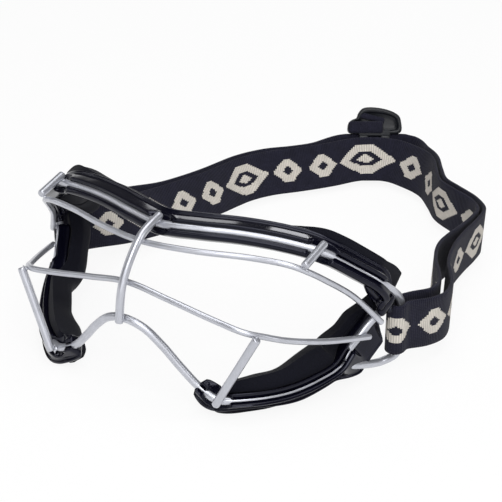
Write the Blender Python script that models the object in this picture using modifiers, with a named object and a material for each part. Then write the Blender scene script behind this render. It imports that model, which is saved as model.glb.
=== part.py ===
"""Wire-cage sports eye guard on a doubled elastic strap, modelled as it lies on a table.

The cage is drawn upright in its own frame (x across, y towards the wearer, z up) and leans back
on the table through its parent empty. The strap is drawn in the table's frame. Lengths are metres.
"""
import math

import bmesh
import bpy
import numpy as np
from mathutils import Euler, Matrix, Vector

MM = 0.001

# Wire sizes and the gaps between pieces
FRAME_WIRE = 3.3 * MM
BAR_WIRE = 2.4 * MM
WELD_GAP = 0.3 * MM
GROOVE_FIT = 0.3 * MM
BAR_OVERHANG = 1.6 * MM
STRUT_OVERHANG = 1.0 * MM
CHEEK_OVERHANG = 0.2 * MM
WIRE_STEP = 4.0 * MM

# How the guard lies on the table
LEAN = math.radians(37.8)
REST_HEIGHT = 35.0 * MM
HEAD_AXIS = 85.0 * MM

# Perimeter wire, from the middle of the brow round one temple loop to the middle of the nose arch
BROW_ROUTE = [(0, -17.6, 23.6), (15, -14.6, 25.8), (30, -9.6, 28.8), (46, -4.4, 30.8),
              (60.4, 0.6, 31.2), (71, 10.2, 29.7), (79, 20.5, 27.8)]
LOOP_ROUTE = [(80.6, 28, 27.3), (81.3, 35.4, 26.2), (81.4, 41.4, 22.8), (81.4, 47.8, 12.2),
              (81.2, 51.2, 6.2), (77.8, 47.6, 1.2), (73.6, 37.2, -3.2)]
CHEEK_ROUTE = [(70, 28.6, -6.2), (65, 22.6, -13.6), (58, 15.6, -21.9), (47.5, 6.4, -29.2), (37.1, 0.8, -33)]
ARCH_ROUTE = [(29.4, -1.2, -30.6), (22, -7, -25.6), (15, -13.4, -20.1), (8, -18.2, -16.1), (0, -20.2, -14.8)]

# Bars that cross the opening, from the middle to the point where they lap the post
UPPER_ROUTE = [(0, -25.3, 14.5), (20, -22.3, 16.4), (40, -16, 20.2), (54, -12.3, 21.8), (60.2, -8, 21.7),
               (64.5, 0.6, 21.3), (71, 15.4, 19.8)]
MIDDLE_ROUTE = [(0, -26.7, -1.8), (18, -24, -3.7), (36, -20.3, -5.9), (48, -18, -6.9), (54, -13, -6),
                (60, -3.4, -4.2), (68, 11.6, 0.4)]
UPPER_LAP = 16.4 * MM
MIDDLE_LAP = 8.4 * MM

# Post beside the strap slot, from the brow down to the cheek
POST_ROUTE = [(80.4, 27.6, 23.4), (78, 30.6, 19.6), (75, 31, 14.5), (72.4, 29.9, 7), (70.2, 28.9, 0)]

# Where the struts stand, measured across from the middle
TOP_STRUT_AT_BROW = 60.4 * MM
TOP_STRUT_AT_BAR = 59.6 * MM
LOW_STRUT_AT_BAR = 51.6 * MM
LOW_STRUT_AT_CHEEK = 37.1 * MM

# Moulding section: reach away from the opening, reach towards it, and depth behind the wire
BROW_RIM = 7.0 * MM
CHEEK_RIM = 4.8 * MM
SIDE_RIM = 6.4 * MM
TEMPLE_RIM = 2.4 * MM
WING_RIM = 9.5 * MM
WING_STARTS = -13.0 * MM
WING_LOW = -4.0 * MM
WING_HIGH = 11.0 * MM
WING_ENDS = 17.0 * MM
MOULD_INNER = 4.0 * MM
MOULD_BACK = 4.0 * MM
RIM_EDGE = 1.2 * MM
OUTER_LIP = 1.0 * MM
INNER_LIP = 1.5 * MM
WINDOW_LIP = -0.7 * MM
LIP_WIDTH = 2.6 * MM
BROW_END_HEIGHT = 20.4 * MM
MOULDING_GAP = 1.0 * MM
CHEEK_TOP_HEIGHT = BROW_END_HEIGHT - MOULDING_GAP
BROW_BEND = 2.0 * MM
CHEEK_BEND = 1.3 * MM
WINDOW_BOTTOM = 1.0 * MM
SIDE_STARTS = -30.0 * MM
SIDE_FULL = -18.0 * MM
TAPER_STARTS = 21.0 * MM
TAPER_ENDS = 30.0 * MM
NOSE_END = 26.0 * MM
FOAM_NOSE_END = 31.0 * MM
POCKET_HALF = 5.6 * MM
POCKET_DEPTH = 1.3 * MM

# Foam pad section
FOAM_THICK = 12.0 * MM
FOAM_REST_THICK = 9.0 * MM
FOAM_CHEEK_THICK = 4.5 * MM
FOAM_TEMPLE_THICK = 8.5 * MM
FOAM_THINS = -29.0 * MM
FOAM_THIN = -23.0 * MM
FOAM_THICKENS = -14.0 * MM
FOAM_GAP = 0.3 * MM
FOAM_BROW_OUT = 6.4 * MM
FOAM_END_OUT = 8.4 * MM
FOAM_WIDENS = 42.0 * MM
FOAM_WIDE = 64.0 * MM
FOAM_CHEEK_OUT = 4.4 * MM
FOAM_TEMPLE_OUT = 2.4 * MM
FOAM_WING_OUT = 11.5 * MM
FOAM_TIP_OUT = 7.0 * MM
FOAM_BROW_IN = 1.0 * MM
FOAM_CHEEK_IN = 7.6 * MM
FOAM_NOSE_IN = 4.4 * MM
FOAM_TEMPLE_IN = 3.0 * MM
FOAM_NARROWS = -20.0 * MM
FOAM_ROUND = 2.6 * MM

# Strap and slider
STRAP_WIDTH = 22.0 * MM
STRAP_THICK = 1.6 * MM
STRAP_PLAY = 0.8 * MM
FOLD_REACH = 6.4 * MM
FOLD_TURN = math.radians(5)
BACK_LEAN = math.radians(26)
RIGHT_LEAN = math.radians(2)
LEAN_STARTS = 46.0 * MM
LEAN_FULL = 95.0 * MM
LEAN_EASES = 8.0 * MM
LEAN_EASED = 46.0 * MM
DROP_ENDS = 175.0 * MM
STRAP_STEP = 5.0 * MM
INNER_RUN = [(-74.2, 53.8), (-63.1, 70.9), (-54.5, 95.6), (-47.9, 121.2), (-43, 143.5), (-37.5, 154.1),
             (-27.9, 165.5), (-15.4, 181.2), (-6.3, 193.3), (3.2, 197.4), (13.3, 195.8), (25.4, 191),
             (35.1, 180.7), (43.3, 170.7), (53, 164.2), (64, 158.6), (70.3, 151.1), (71.5, 141),
             (70.9, 128.3), (70, 119.1), (70, 110), (72.1, 100.2), (76.6, 89.5), (82.1, 80.2), (86, 71.4),
             (86.3, 63.1), (81.5, 54.3)]
OUTER_RIGHT = [(90.1, 53.8), (92.6, 62.6), (90.8, 73), (86.5, 82.2), (81.4, 91.5), (78.1, 101.8),
               (75.8, 114), (74.9, 127.3), (74.7, 140.5), (72.9, 152.6), (65.6, 161.1), (55, 167.3),
               (45.3, 173.3), (37.5, 182.7), (27.8, 193.4), (16.8, 200)]
OUTER_LEFT = [(-22.2, 177.9), (-31, 166.5), (-40.7, 156.1), (-46.5, 144.5), (-51.3, 122.2), (-58.1, 97.2),
              (-68.3, 79.7), (-78.2, 66.8), (-85.1, 55.4)]
SLIDER_CENTRE = (-3.7, 199.8)
SLIDER_TURN = math.radians(30)
SLIDER_LENGTH = 27.0 * MM
SLIDER_GRIP = 16.0 * MM
SLIDER_TRAVEL = 4.0 * MM
SLIDER_FIT = 0.35 * MM
SLIDER_FOOT = 1.6 * MM
SLIDER_BAR = 1.8 * MM
SLIDER_BAR_LENGTH = 5.0 * MM
SLIDER_CREST = 13.0 * MM
# Crest outline as shares of half the length and of the crest's height
CREST_OUTLINE = [(-1, 0), (1, 0), (1, 0.44), (0.93, 0.65), (0.72, 0.81), (0.3, 0.95), (-0.2, 1),
                 (-0.45, 0.95), (-0.6, 0.78), (-0.66, 0.56), (-0.8, 0.53), (-0.95, 0.44), (-1, 0.31)]
BACK_LIFT = ((SLIDER_FIT + SLIDER_FOOT) * math.cos(BACK_LEAN)
             + (SLIDER_FIT + SLIDER_BAR) * math.sin(BACK_LEAN))


def mm(points):
    """Turn rows of millimetres into vectors in metres."""
    return [Vector(point) * MM for point in points]


def mirrored(points):
    """Reflect points across the middle plane."""
    return [Vector((-p.x, p.y, p.z)) for p in points]


def smooth(points, step, cyclic=False):
    """Sample a centripetal Catmull-Rom curve through the points about every step."""
    points = [Vector(p) for p in points]
    if cyclic:
        ring = [points[-1]] + points + points[:2]
    else:
        ring = [2 * points[0] - points[1]] + points + [2 * points[-1] - points[-2]]
    samples = []
    for a, b, c, d in zip(ring, ring[1:], ring[2:], ring[3:]):
        t1 = max((b - a).length, 1e-9) ** 0.5
        t2 = t1 + max((c - b).length, 1e-9) ** 0.5
        t3 = t2 + max((d - c).length, 1e-9) ** 0.5
        count = max(1, round((c - b).length / step))
        for i in range(count):
            t = t1 + (t2 - t1) * i / count
            ab = a + (b - a) * (t / t1)
            bc = b + (c - b) * ((t - t1) / (t2 - t1))
            cd = c + (d - c) * ((t - t2) / (t3 - t2))
            abc = ab + (bc - ab) * (t / t2)
            bcd = bc + (cd - bc) * ((t - t1) / (t3 - t1))
            samples.append(abc + (bcd - abc) * ((t - t1) / (t2 - t1)))
    if not cyclic:
        samples.append(points[-1].copy())
    return samples


def directions(points):
    """Unit tangents along a row of points."""
    ends = [points[0]] + points + [points[-1]]
    return [(after - before).normalized() for before, after in zip(ends, ends[2:])]


def nearest(points, key):
    """The point of a row that a measure puts closest to nought, with its tangent."""
    index = min(range(len(points)), key=lambda i: abs(key(points[i])))
    return points[index], directions(points)[index]


def crossing(points, coordinate, value):
    """Point and tangent where a row of points first passes a value of one coordinate."""
    for a, b in zip(points, points[1:]):
        low, high = sorted((a[coordinate], b[coordinate]))
        if low <= value <= high and high > low:
            share = (value - a[coordinate]) / (b[coordinate] - a[coordinate])
            return a.lerp(b, share), (b - a).normalized()
    raise ValueError("The route never reaches that place")


def srgb(red, green, blue):
    """Linear colour from 0 to 255 values."""
    return tuple((v / 255) ** 2.2 for v in (red, green, blue)) + (1.0,)


def material(name, colour, roughness, metallic=0.0):
    made = bpy.data.materials.new(name)
    made.use_nodes = True
    shader = made.node_tree.nodes["Principled BSDF"]
    shader.inputs["Base Color"].default_value = colour
    shader.inputs["Roughness"].default_value = roughness
    shader.inputs["Metallic"].default_value = metallic
    made.diffuse_color = colour
    return made


def clear_scene():
    for thing in list(bpy.data.objects):
        bpy.data.objects.remove(thing, do_unlink=True)


def collection(name):
    made = bpy.data.collections.new(name)
    bpy.context.scene.collection.children.link(made)
    return made


def empty(name, parent=None, location=(0, 0, 0), turn=(0, 0, 0)):
    made = bpy.data.objects.new(name, None)
    made.location = location
    made.rotation_euler = turn
    made.parent = parent
    PARTS.objects.link(made)
    return made


def place(name, data, finish, parent):
    """Link a piece under its parent with its material."""
    made = bpy.data.objects.new(name, data)
    made.data.materials.append(finish)
    made.parent = parent
    PARTS.objects.link(made)
    return made


def wire_curve(name, points, diameter, cyclic=False):
    data = bpy.data.curves.new(name, "CURVE")
    data.dimensions = "3D"
    data.bevel_depth = diameter / 2
    data.bevel_resolution = 2
    data.use_fill_caps = not cyclic
    spline = data.splines.new("POLY")
    spline.points.add(len(points) - 1)
    for slot, point in zip(spline.points, points):
        slot.co = (*point, 1.0)
    spline.use_cyclic_u = cyclic
    spline.use_smooth = True
    return data


def wire(name, points, diameter, parent, cyclic=False):
    return place(name, wire_curve(name, points, diameter, cyclic), STEEL, parent)


def swept_mesh(name, rings):
    """Closed mesh through equal rings of points, capped at both ends."""
    mesh = bpy.data.meshes.new(name)
    bm = bmesh.new()
    rows = [[bm.verts.new(point) for point in ring] for ring in rings]
    for near, far in zip(rows, rows[1:]):
        for i in range(len(near)):
            j = (i + 1) % len(near)
            bm.faces.new((near[i], near[j], far[j], far[i]))
    bm.faces.new(rows[0])
    bm.faces.new(rows[-1])
    bmesh.ops.recalc_face_normals(bm, faces=bm.faces)
    bm.to_mesh(mesh)
    bm.free()
    mesh.shade_smooth()
    mesh.set_sharp_from_angle(angle=math.radians(35))
    return mesh


def hide_cutter(thing):
    thing.hide_render = True
    thing.display_type = "WIRE"
    return thing


def mesh_cutter(name, mesh, parent):
    made = bpy.data.objects.new(name, mesh)
    made.parent = parent
    CUTTERS.objects.link(made)
    return hide_cutter(made)


def wire_cutter(name, points, diameter, parent):
    """A closed mesh tube along a wire, as wide as the channel the wire lies in."""
    curve = bpy.data.objects.new(name, wire_curve(name, points, diameter))
    CUTTERS.objects.link(curve)
    bpy.context.view_layer.update()
    shape = curve.evaluated_get(bpy.context.evaluated_depsgraph_get())
    mesh = bpy.data.meshes.new_from_object(shape)
    bpy.data.objects.remove(curve, do_unlink=True)
    bm = bmesh.new()
    bm.from_mesh(mesh)
    bmesh.ops.remove_doubles(bm, verts=bm.verts, dist=0.01 * MM)
    bmesh.ops.recalc_face_normals(bm, faces=bm.faces)
    bm.to_mesh(mesh)
    bm.free()
    return mesh_cutter(name, mesh, parent)


def cut(piece, cutter):
    step = piece.modifiers.new(cutter.name, "BOOLEAN")
    step.operation = "DIFFERENCE"
    step.solver = "EXACT"
    step.object = cutter


def join(piece, other):
    step = piece.modifiers.new(other.name, "BOOLEAN")
    step.operation = "UNION"
    step.solver = "EXACT"
    step.object = other


def section_frames(path):
    """Place, outward direction and front direction of the section at each point of a path."""
    frames = []
    for point, along in zip(path, directions(path)):
        front = Vector((point.x, point.y - HEAD_AXIS, 0)).normalized()
        front = (front - along * front.dot(along)).normalized()
        frames.append((point, front.cross(along), front))
    return frames


def set_out(frame, profile):
    """Points of a profile, given as outward and front measures, at one frame."""
    point, outward, front = frame
    return [point + outward * o + front * f for o, f in profile]


def shrunk(profile, share):
    """A profile drawn in about its own middle, for a rounded end."""
    middle_o = sum(o for o, _ in profile) / len(profile)
    middle_f = sum(f for _, f in profile) / len(profile)
    return [(middle_o + (o - middle_o) * share, middle_f + (f - middle_f) * share) for o, f in profile]


def mould_profile(rim, lip):
    """Moulding section; lip is 1 where it grips the wire and 0 beside the bare post."""
    outer = WINDOW_LIP + (OUTER_LIP - WINDOW_LIP) * lip
    inner = WINDOW_LIP + (INNER_LIP - WINDOW_LIP) * lip
    shoulder = (rim + LIP_WIDTH) / 2
    edge = -MOULD_BACK + RIM_EDGE
    return [(rim, -MOULD_BACK), (rim, edge), (shoulder, (outer + edge) / 2.4), (LIP_WIDTH, outer),
            (-LIP_WIDTH, inner), (-MOULD_INNER, inner - LIP_WIDTH / 2), (-MOULD_INNER, -MOULD_BACK)]


def foam_profile(out, inward, thick):
    front = -MOULD_BACK - FOAM_GAP
    rear = front - thick
    middle = (front + rear) / 2
    corner = min(FOAM_ROUND, thick / 3)
    bulge = corner / 4
    return [(out, front), (out + bulge, middle), (out - bulge, rear + corner), (out - corner, rear),
            (-inward + corner, rear), (-inward, rear + corner), (-inward - bulge, middle), (-inward, front)]


def blend(value, start, end):
    """0 before start, 1 after end, and smooth between."""
    share = min(1.0, max(0.0, (value - start) / (end - start)))
    return share * share * (3 - 2 * share)


def both_sides(points):
    """A whole route from its half, which starts on the middle plane."""
    return mirrored(points[:0:-1]) + points


def ring_route():
    """Closed perimeter wire, starting at the middle of the brow and going to +x."""
    half = mm(BROW_ROUTE + LOOP_ROUTE + CHEEK_ROUTE + ARCH_ROUTE)
    return smooth(half + mirrored(half[-2:0:-1]), WIRE_STEP, cyclic=True)


def half_of(ring):
    """The +x half of the perimeter wire, from brow to nose."""
    nose = min(range(1, len(ring)), key=lambda i: abs(ring[i].x) + (ring[i].z > 0))
    return ring[:nose + 1]


def butt(ring, towards):
    """A wire end that stops just short of the ring's surface on the side that it comes from."""
    seat, along = nearest(ring, lambda p: (p - towards).length)
    out = (towards - seat).normalized()
    reach = FRAME_WIRE / 2 + WELD_GAP + FRAME_WIRE / 2 * abs(out.dot(along))
    return seat + out * reach


def post_route(half):
    points = mm(POST_ROUTE)
    return smooth([butt(half, points[0])] + points + [butt(half, points[-1])], WIRE_STEP)


def bar_route(route, lap_height, post):
    """A whole bar whose ends lap the outside of the two posts."""
    points = mm(route)
    seat, post_along = crossing(post, 2, lap_height)
    along = (seat - points[-1]).normalized()
    out = along.cross(post_along).normalized()
    out = out if out.x > 0 else -out
    lap = seat + out * (FRAME_WIRE / 2 + BAR_WIRE / 2 + WELD_GAP)
    along = (lap - points[-1]).normalized()
    points += [lap, lap + along * BAR_OVERHANG]
    return smooth(both_sides(points), WIRE_STEP)


def laid_over(seat, seat_along, strut_along, seat_wire):
    """Centre of a strut that crosses in front of a wire and touches it but for the weld gap."""
    out = seat_along.cross(strut_along).normalized()
    out = out if out.y < 0 else -out
    return seat + out * (seat_wire / 2 + FRAME_WIRE / 2 + WELD_GAP)


def strut_route(first, second, first_wire, second_wire, overhang):
    """Straight strut laid over two wires, given as their points and tangents."""
    along = (second[0] - first[0]).normalized()
    start = laid_over(*first, along, first_wire)
    end = laid_over(*second, along, second_wire)
    along = (end - start).normalized()
    return [start - along * STRUT_OVERHANG, start, end, end + along * overhang]


def nose_route(half, upper, middle):
    """Bowed strut in the middle plane, laid over the brow, both bars and the nose arch."""
    across = Vector((1, 0, 0))
    seats = [half[0], crossing(upper, 0, 0.0)[0], crossing(middle, 0, 0.0)[0], half[-1]]
    wires = [FRAME_WIRE, BAR_WIRE, BAR_WIRE, FRAME_WIRE]
    points = [laid_over(seat, across, along, size)
              for seat, along, size in zip(seats, directions(seats), wires)]
    start = points[0] + (points[0] - points[1]).normalized() * STRUT_OVERHANG
    end = points[-1] + (points[-1] - points[-2]).normalized() * STRUT_OVERHANG
    return smooth([start] + points + [end], WIRE_STEP)


def build_cage(root):
    """All the wires; returns what the mouldings are cut by and set against."""
    ring = ring_route()
    half = half_of(ring)
    post = post_route(half)
    upper = bar_route(UPPER_ROUTE, UPPER_LAP, post)
    middle = bar_route(MIDDLE_ROUTE, MIDDLE_LAP, post)
    wire("perimeter_wire", ring, FRAME_WIRE, root, cyclic=True)
    wire("upper_bar", upper, BAR_WIRE, root)
    wire("middle_bar", middle, BAR_WIRE, root)
    wire("nose_strut", nose_route(half, upper, middle), FRAME_WIRE, root)
    brow_seat = crossing(half, 0, TOP_STRUT_AT_BROW)
    cheek_seat = crossing(half[::-1], 0, LOW_STRUT_AT_CHEEK)
    top = strut_route(brow_seat, crossing(upper, 0, TOP_STRUT_AT_BAR), FRAME_WIRE, BAR_WIRE,
                      STRUT_OVERHANG)
    low = strut_route(crossing(middle, 0, LOW_STRUT_AT_BAR), cheek_seat, BAR_WIRE, FRAME_WIRE,
                      CHEEK_OVERHANG)
    for side, turn in (("left", list), ("right", mirrored)):
        wire(f"temple_post_{side}", turn(post), FRAME_WIRE, root)
        wire(f"top_strut_{side}", turn(top), FRAME_WIRE, root)
        wire(f"lower_strut_{side}", turn(low), FRAME_WIRE, root)
    return ring, half, post, brow_seat[0], cheek_seat[0]


def brow_path(post):
    """Middle line of the brow moulding, from one post to the other."""
    seat, _ = crossing(post, 2, BROW_END_HEIGHT)
    brow = mm(BROW_ROUTE)
    bend = brow[-1].lerp(seat, 0.65) + Vector((BROW_BEND, 0, BROW_BEND))
    return smooth(both_sides(brow + [bend, seat]), WIRE_STEP)


def cheek_path(post):
    """Middle line of a cheek moulding, down the post and along the cheek to the nose."""
    top, _ = crossing(post, 2, CHEEK_TOP_HEIGHT)
    on_post = [p for p in mm(POST_ROUTE) if p.z < CHEEK_TOP_HEIGHT - WIRE_STEP / 2]
    cheek = mm(CHEEK_ROUTE[1:] + ARCH_ROUTE[:2])
    turn = on_post[-1].lerp(cheek[0], 0.5) + Vector((CHEEK_BEND, CHEEK_BEND, 0))
    path = smooth([top] + on_post + [turn] + cheek, WIRE_STEP)
    return [p for p in path if p.z > 0 or p.x > NOSE_END]


def round_ends(profiles, shares):
    """Draw in the first and last profiles of a run."""
    for i, share in enumerate(shares):
        profiles[i] = shrunk(profiles[i], share)
        profiles[-1 - i] = shrunk(profiles[-1 - i], share)
    return profiles


def pocket(name, seat, path, parent):
    """A scoop in a moulding's front around the end of a strut."""
    index = min(range(len(path)), key=lambda i: (path[i] - seat).length)
    _, outward, front = section_frames(path)[index]
    deep = POCKET_HALF / 2
    mesh = bpy.data.meshes.new(name)
    bm = bmesh.new()
    bmesh.ops.create_uvsphere(bm, u_segments=16, v_segments=10, radius=1.0)
    stretch = Matrix.Diagonal((POCKET_HALF, POCKET_HALF * 1.3, deep)).to_4x4()
    along = outward.cross(front)
    turn = Matrix((along, outward, front)).transposed().to_4x4()
    centre = seat + front * (deep - POCKET_DEPTH) + outward * LIP_WIDTH / 2
    bmesh.ops.transform(bm, matrix=Matrix.Translation(centre) @ turn @ stretch, verts=bm.verts)
    bm.to_mesh(mesh)
    bm.free()
    return mesh_cutter(name, mesh, parent)


def reflect(mesh):
    """Reflect a mesh across the middle plane, keeping its faces turned out."""
    made = mesh.copy()
    made.transform(Matrix.Diagonal((-1, 1, 1, 1)))
    made.flip_normals()
    return made


def opposite(name, piece, finish, parent):
    """The other side's twin of a finished piece."""
    bpy.context.view_layer.update()
    shape = piece.evaluated_get(bpy.context.evaluated_depsgraph_get())
    mesh = bpy.data.meshes.new_from_object(shape)
    mesh.materials.clear()
    return place(name, reflect(mesh), finish, parent)


def build_brow(root, path, cutters):
    """Brow moulding and the foam behind it, which runs on to the temple loops."""
    frames = section_frames(path)
    shell = []
    for point, _, _ in frames:
        drawn_in = blend(point.y, TAPER_STARTS, TAPER_ENDS)
        shell.append(mould_profile(BROW_RIM + (TEMPLE_RIM - BROW_RIM) * drawn_in, 1.0))
    rings = [set_out(frame, profile) for frame, profile in zip(frames, round_ends(shell, (0.8,)))]
    piece = place("brow_moulding", swept_mesh("brow_moulding", rings), GLOSS, root)
    for cutter in cutters:
        cut(piece, cutter)
    loop = mm(LOOP_ROUTE[:2])
    run = mm(BROW_ROUTE) + [loop[0], (loop[0] + loop[1]) / 2]
    frames = section_frames(smooth(both_sides(run), WIRE_STEP))
    pad = []
    for point, _, _ in frames:
        widening = blend(abs(point.x), FOAM_WIDENS, FOAM_WIDE)
        out = FOAM_BROW_OUT + (FOAM_END_OUT - FOAM_BROW_OUT) * widening
        out += (FOAM_TIP_OUT - out) * blend(point.y, TAPER_STARTS, TAPER_ENDS)
        pad.append(foam_profile(out, FOAM_BROW_IN, FOAM_THICK))
    rings = [set_out(frame, profile) for frame, profile in zip(frames, round_ends(pad, (0.8,)))]
    place("brow_foam", swept_mesh("brow_foam", rings), FOAM, root)


def build_cheeks(root, path, channels, table):
    """Cheek mouldings and foam pads; the right ones are twins of the left ones."""
    frames = section_frames(path)
    shell = []
    pad = []
    for point, _, _ in frames:
        grip = 1 - blend(point.z, WINDOW_BOTTOM - 2 * WIRE_STEP, WINDOW_BOTTOM)
        rim = CHEEK_RIM + (SIDE_RIM - CHEEK_RIM) * blend(point.z, SIDE_STARTS, SIDE_FULL)
        wing_end = blend(point.z, WING_HIGH, WING_ENDS)
        wing_start = blend(point.z, WING_STARTS, WING_LOW)
        wing = WING_RIM + (TEMPLE_RIM - WING_RIM) * wing_end
        shell.append(mould_profile(rim + (wing - rim) * wing_start, grip))
        if point.x > FOAM_NOSE_END:
            out = FOAM_WING_OUT + (FOAM_TEMPLE_OUT - FOAM_WING_OUT) * wing_end
            out = FOAM_CHEEK_OUT + (out - FOAM_CHEEK_OUT) * wing_start
            thinning = blend(point.z, FOAM_THINS, FOAM_THIN)
            thick = FOAM_REST_THICK + (FOAM_CHEEK_THICK - FOAM_REST_THICK) * thinning
            thick += (FOAM_TEMPLE_THICK - thick) * blend(point.z, FOAM_THICKENS, 0)
            widening = blend(point.x, NOSE_END, 2 * NOSE_END)
            inward = FOAM_NOSE_IN + (FOAM_CHEEK_IN - FOAM_NOSE_IN) * widening
            inward += (FOAM_TEMPLE_IN - inward) * blend(point.z, FOAM_NARROWS, 0)
            pad.append(foam_profile(out, inward, thick))
    shell = round_ends(shell, (0.7,))
    pad = round_ends(pad, (0.7, 0.92))
    for stem, profiles, finish, cutters in (("cheek_moulding", shell, GLOSS, channels + [table]),
                                            ("cheek_foam", pad, FOAM, channels[:1] + [table])):
        rings = [set_out(frame, profile) for frame, profile in zip(frames, profiles)]
        piece = place(f"{stem}_left", swept_mesh(stem, rings), finish, root)
        for cutter in cutters:
            cut(piece, cutter)
        opposite(f"{stem}_right", piece, finish, root)


def table_cutter(stand):
    """Everything under the table, which flattens what the guard rests on."""
    mesh = bpy.data.meshes.new("under_table")
    bm = bmesh.new()
    bmesh.ops.create_cube(bm, size=1.0)
    size = Matrix.Diagonal((4 * HEAD_AXIS, 4 * HEAD_AXIS, REST_HEIGHT)).to_4x4()
    bmesh.ops.transform(bm, matrix=Matrix.Translation((0, 0, -REST_HEIGHT / 2)) @ size, verts=bm.verts)
    bm.to_mesh(mesh)
    bm.free()
    return mesh_cutter("under_table", mesh, stand)


def on_table(point):
    """A point of the cage in the table's frame."""
    return Matrix.Rotation(-LEAN, 3, "X") @ point + Vector((0, 0, REST_HEIGHT))


def loop_bar():
    """Middle of the temple loop's upright stretch on +x, in the table's frame."""
    heights = mm(LOOP_ROUTE[2:4])
    return on_table((heights[0] + heights[1]) / 2)


def fold(side, bar):
    """Plan of the strap round a temple loop, from its outer run to its inner run."""
    ahead = Vector((-side * math.sin(FOLD_TURN), -math.cos(FOLD_TURN), 0))
    out = Vector((side * math.cos(FOLD_TURN), -math.sin(FOLD_TURN), 0))
    radius = FRAME_WIRE / 2 + STRAP_PLAY + STRAP_THICK / 2
    post = Vector((side * bar.x, bar.y, 0))
    centre = post + ahead * (FOLD_REACH - radius)
    arc = [centre + (out * math.cos(a) + ahead * math.sin(a)) * radius
           for a in (math.pi * i / 6 for i in range(7))]
    return [post + out * radius] + arc + [post - out * radius]


def strap_plan(bar):
    """Closed plan line of the band, with the slider's straight stretch first."""
    centre = Vector((*SLIDER_CENTRE, 0)) * MM
    along = Vector((math.cos(SLIDER_TURN), math.sin(SLIDER_TURN), 0))
    reach = SLIDER_GRIP / 2 + SLIDER_TRAVEL + STRAP_STEP / 5
    straight = [centre + along * reach, centre - along * reach]
    flat = [[Vector((x, y, 0)) * MM for x, y in run] for run in (OUTER_LEFT, INNER_RUN, OUTER_RIGHT)]
    turns = [fold(-1, bar), fold(1, bar)[::-1]]
    points = straight[1:] + flat[0] + turns[0] + flat[1] + turns[1] + flat[2] + straight[:1]
    lead = [straight[1] + along * STRAP_STEP]
    follow = [straight[0] - along * STRAP_STEP]
    path = smooth(lead + points + follow, STRAP_STEP)
    first = min(range(len(path)), key=lambda i: (path[i] - straight[1]).length)
    last = min(range(len(path)), key=lambda i: (path[i] - straight[0]).length)
    return path[first:last + 1]


def strap_edges(path, bar):
    """Lower and upper edge of the band along its plan line."""
    pairs = []
    closed = [path[-1]] + path + [path[0]]
    for before, point, after in zip(closed, closed[1:], closed[2:]):
        along = (after - before).normalized()
        out = Vector((along.y, -along.x, 0))
        out = out if out.dot(point - Vector((0, LEAN_FULL, 0))) > 0 else -out
        lean = BACK_LEAN + (RIGHT_LEAN - BACK_LEAN) * blend(point.x, LEAN_EASES, LEAN_EASED)
        lean *= blend(point.y, LEAN_STARTS, LEAN_FULL)
        share = min(1.0, max(0.0, (DROP_ENDS - point.y) / (DROP_ENDS - bar.y)))
        base = BACK_LIFT + STRAP_THICK / 2 * math.sin(lean)
        base += (bar.z - STRAP_WIDTH / 2 - BACK_LIFT) * share ** 2
        low = point + Vector((0, 0, base))
        rise = out * math.sin(lean) + Vector((0, 0, math.cos(lean)))
        pairs.append((low, low + rise * STRAP_WIDTH))
    return pairs


def build_strap(stand, bar):
    """Endless elastic band, doubled through both temple loops."""
    hinge = empty("strap_hinge", stand, (0, bar.y, bar.z))
    shift = Vector((0, bar.y, bar.z))
    path = strap_plan(bar)
    mesh = bpy.data.meshes.new("elastic_strap")
    bm = bmesh.new()
    rows = [[bm.verts.new(p - shift) for p in pair] for pair in strap_edges(path, bar)]
    for near, far in zip(rows, rows[1:] + rows[:1]):
        bm.faces.new((near[0], far[0], far[1], near[1]))
    bmesh.ops.recalc_face_normals(bm, faces=bm.faces)
    bm.to_mesh(mesh)
    bm.free()
    mesh.shade_smooth()
    band = place("elastic_strap", mesh, ELASTIC, hinge)
    thick = band.modifiers.new("Solidify", "SOLIDIFY")
    thick.thickness = STRAP_THICK
    thick.offset = 0
    thick.use_even_offset = True
    return hinge


def block(name, low, high, parent):
    """A plain block between two corners, joined into another piece."""
    mesh = bpy.data.meshes.new(name)
    bm = bmesh.new()
    bmesh.ops.create_cube(bm, size=1.0)
    low, high = Vector(low), Vector(high)
    grow = Matrix.Diagonal(high - low).to_4x4()
    bmesh.ops.transform(bm, matrix=Matrix.Translation((low + high) / 2) @ grow, verts=bm.verts)
    bm.to_mesh(mesh)
    bm.free()
    return mesh_cutter(name, mesh, parent)


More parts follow.
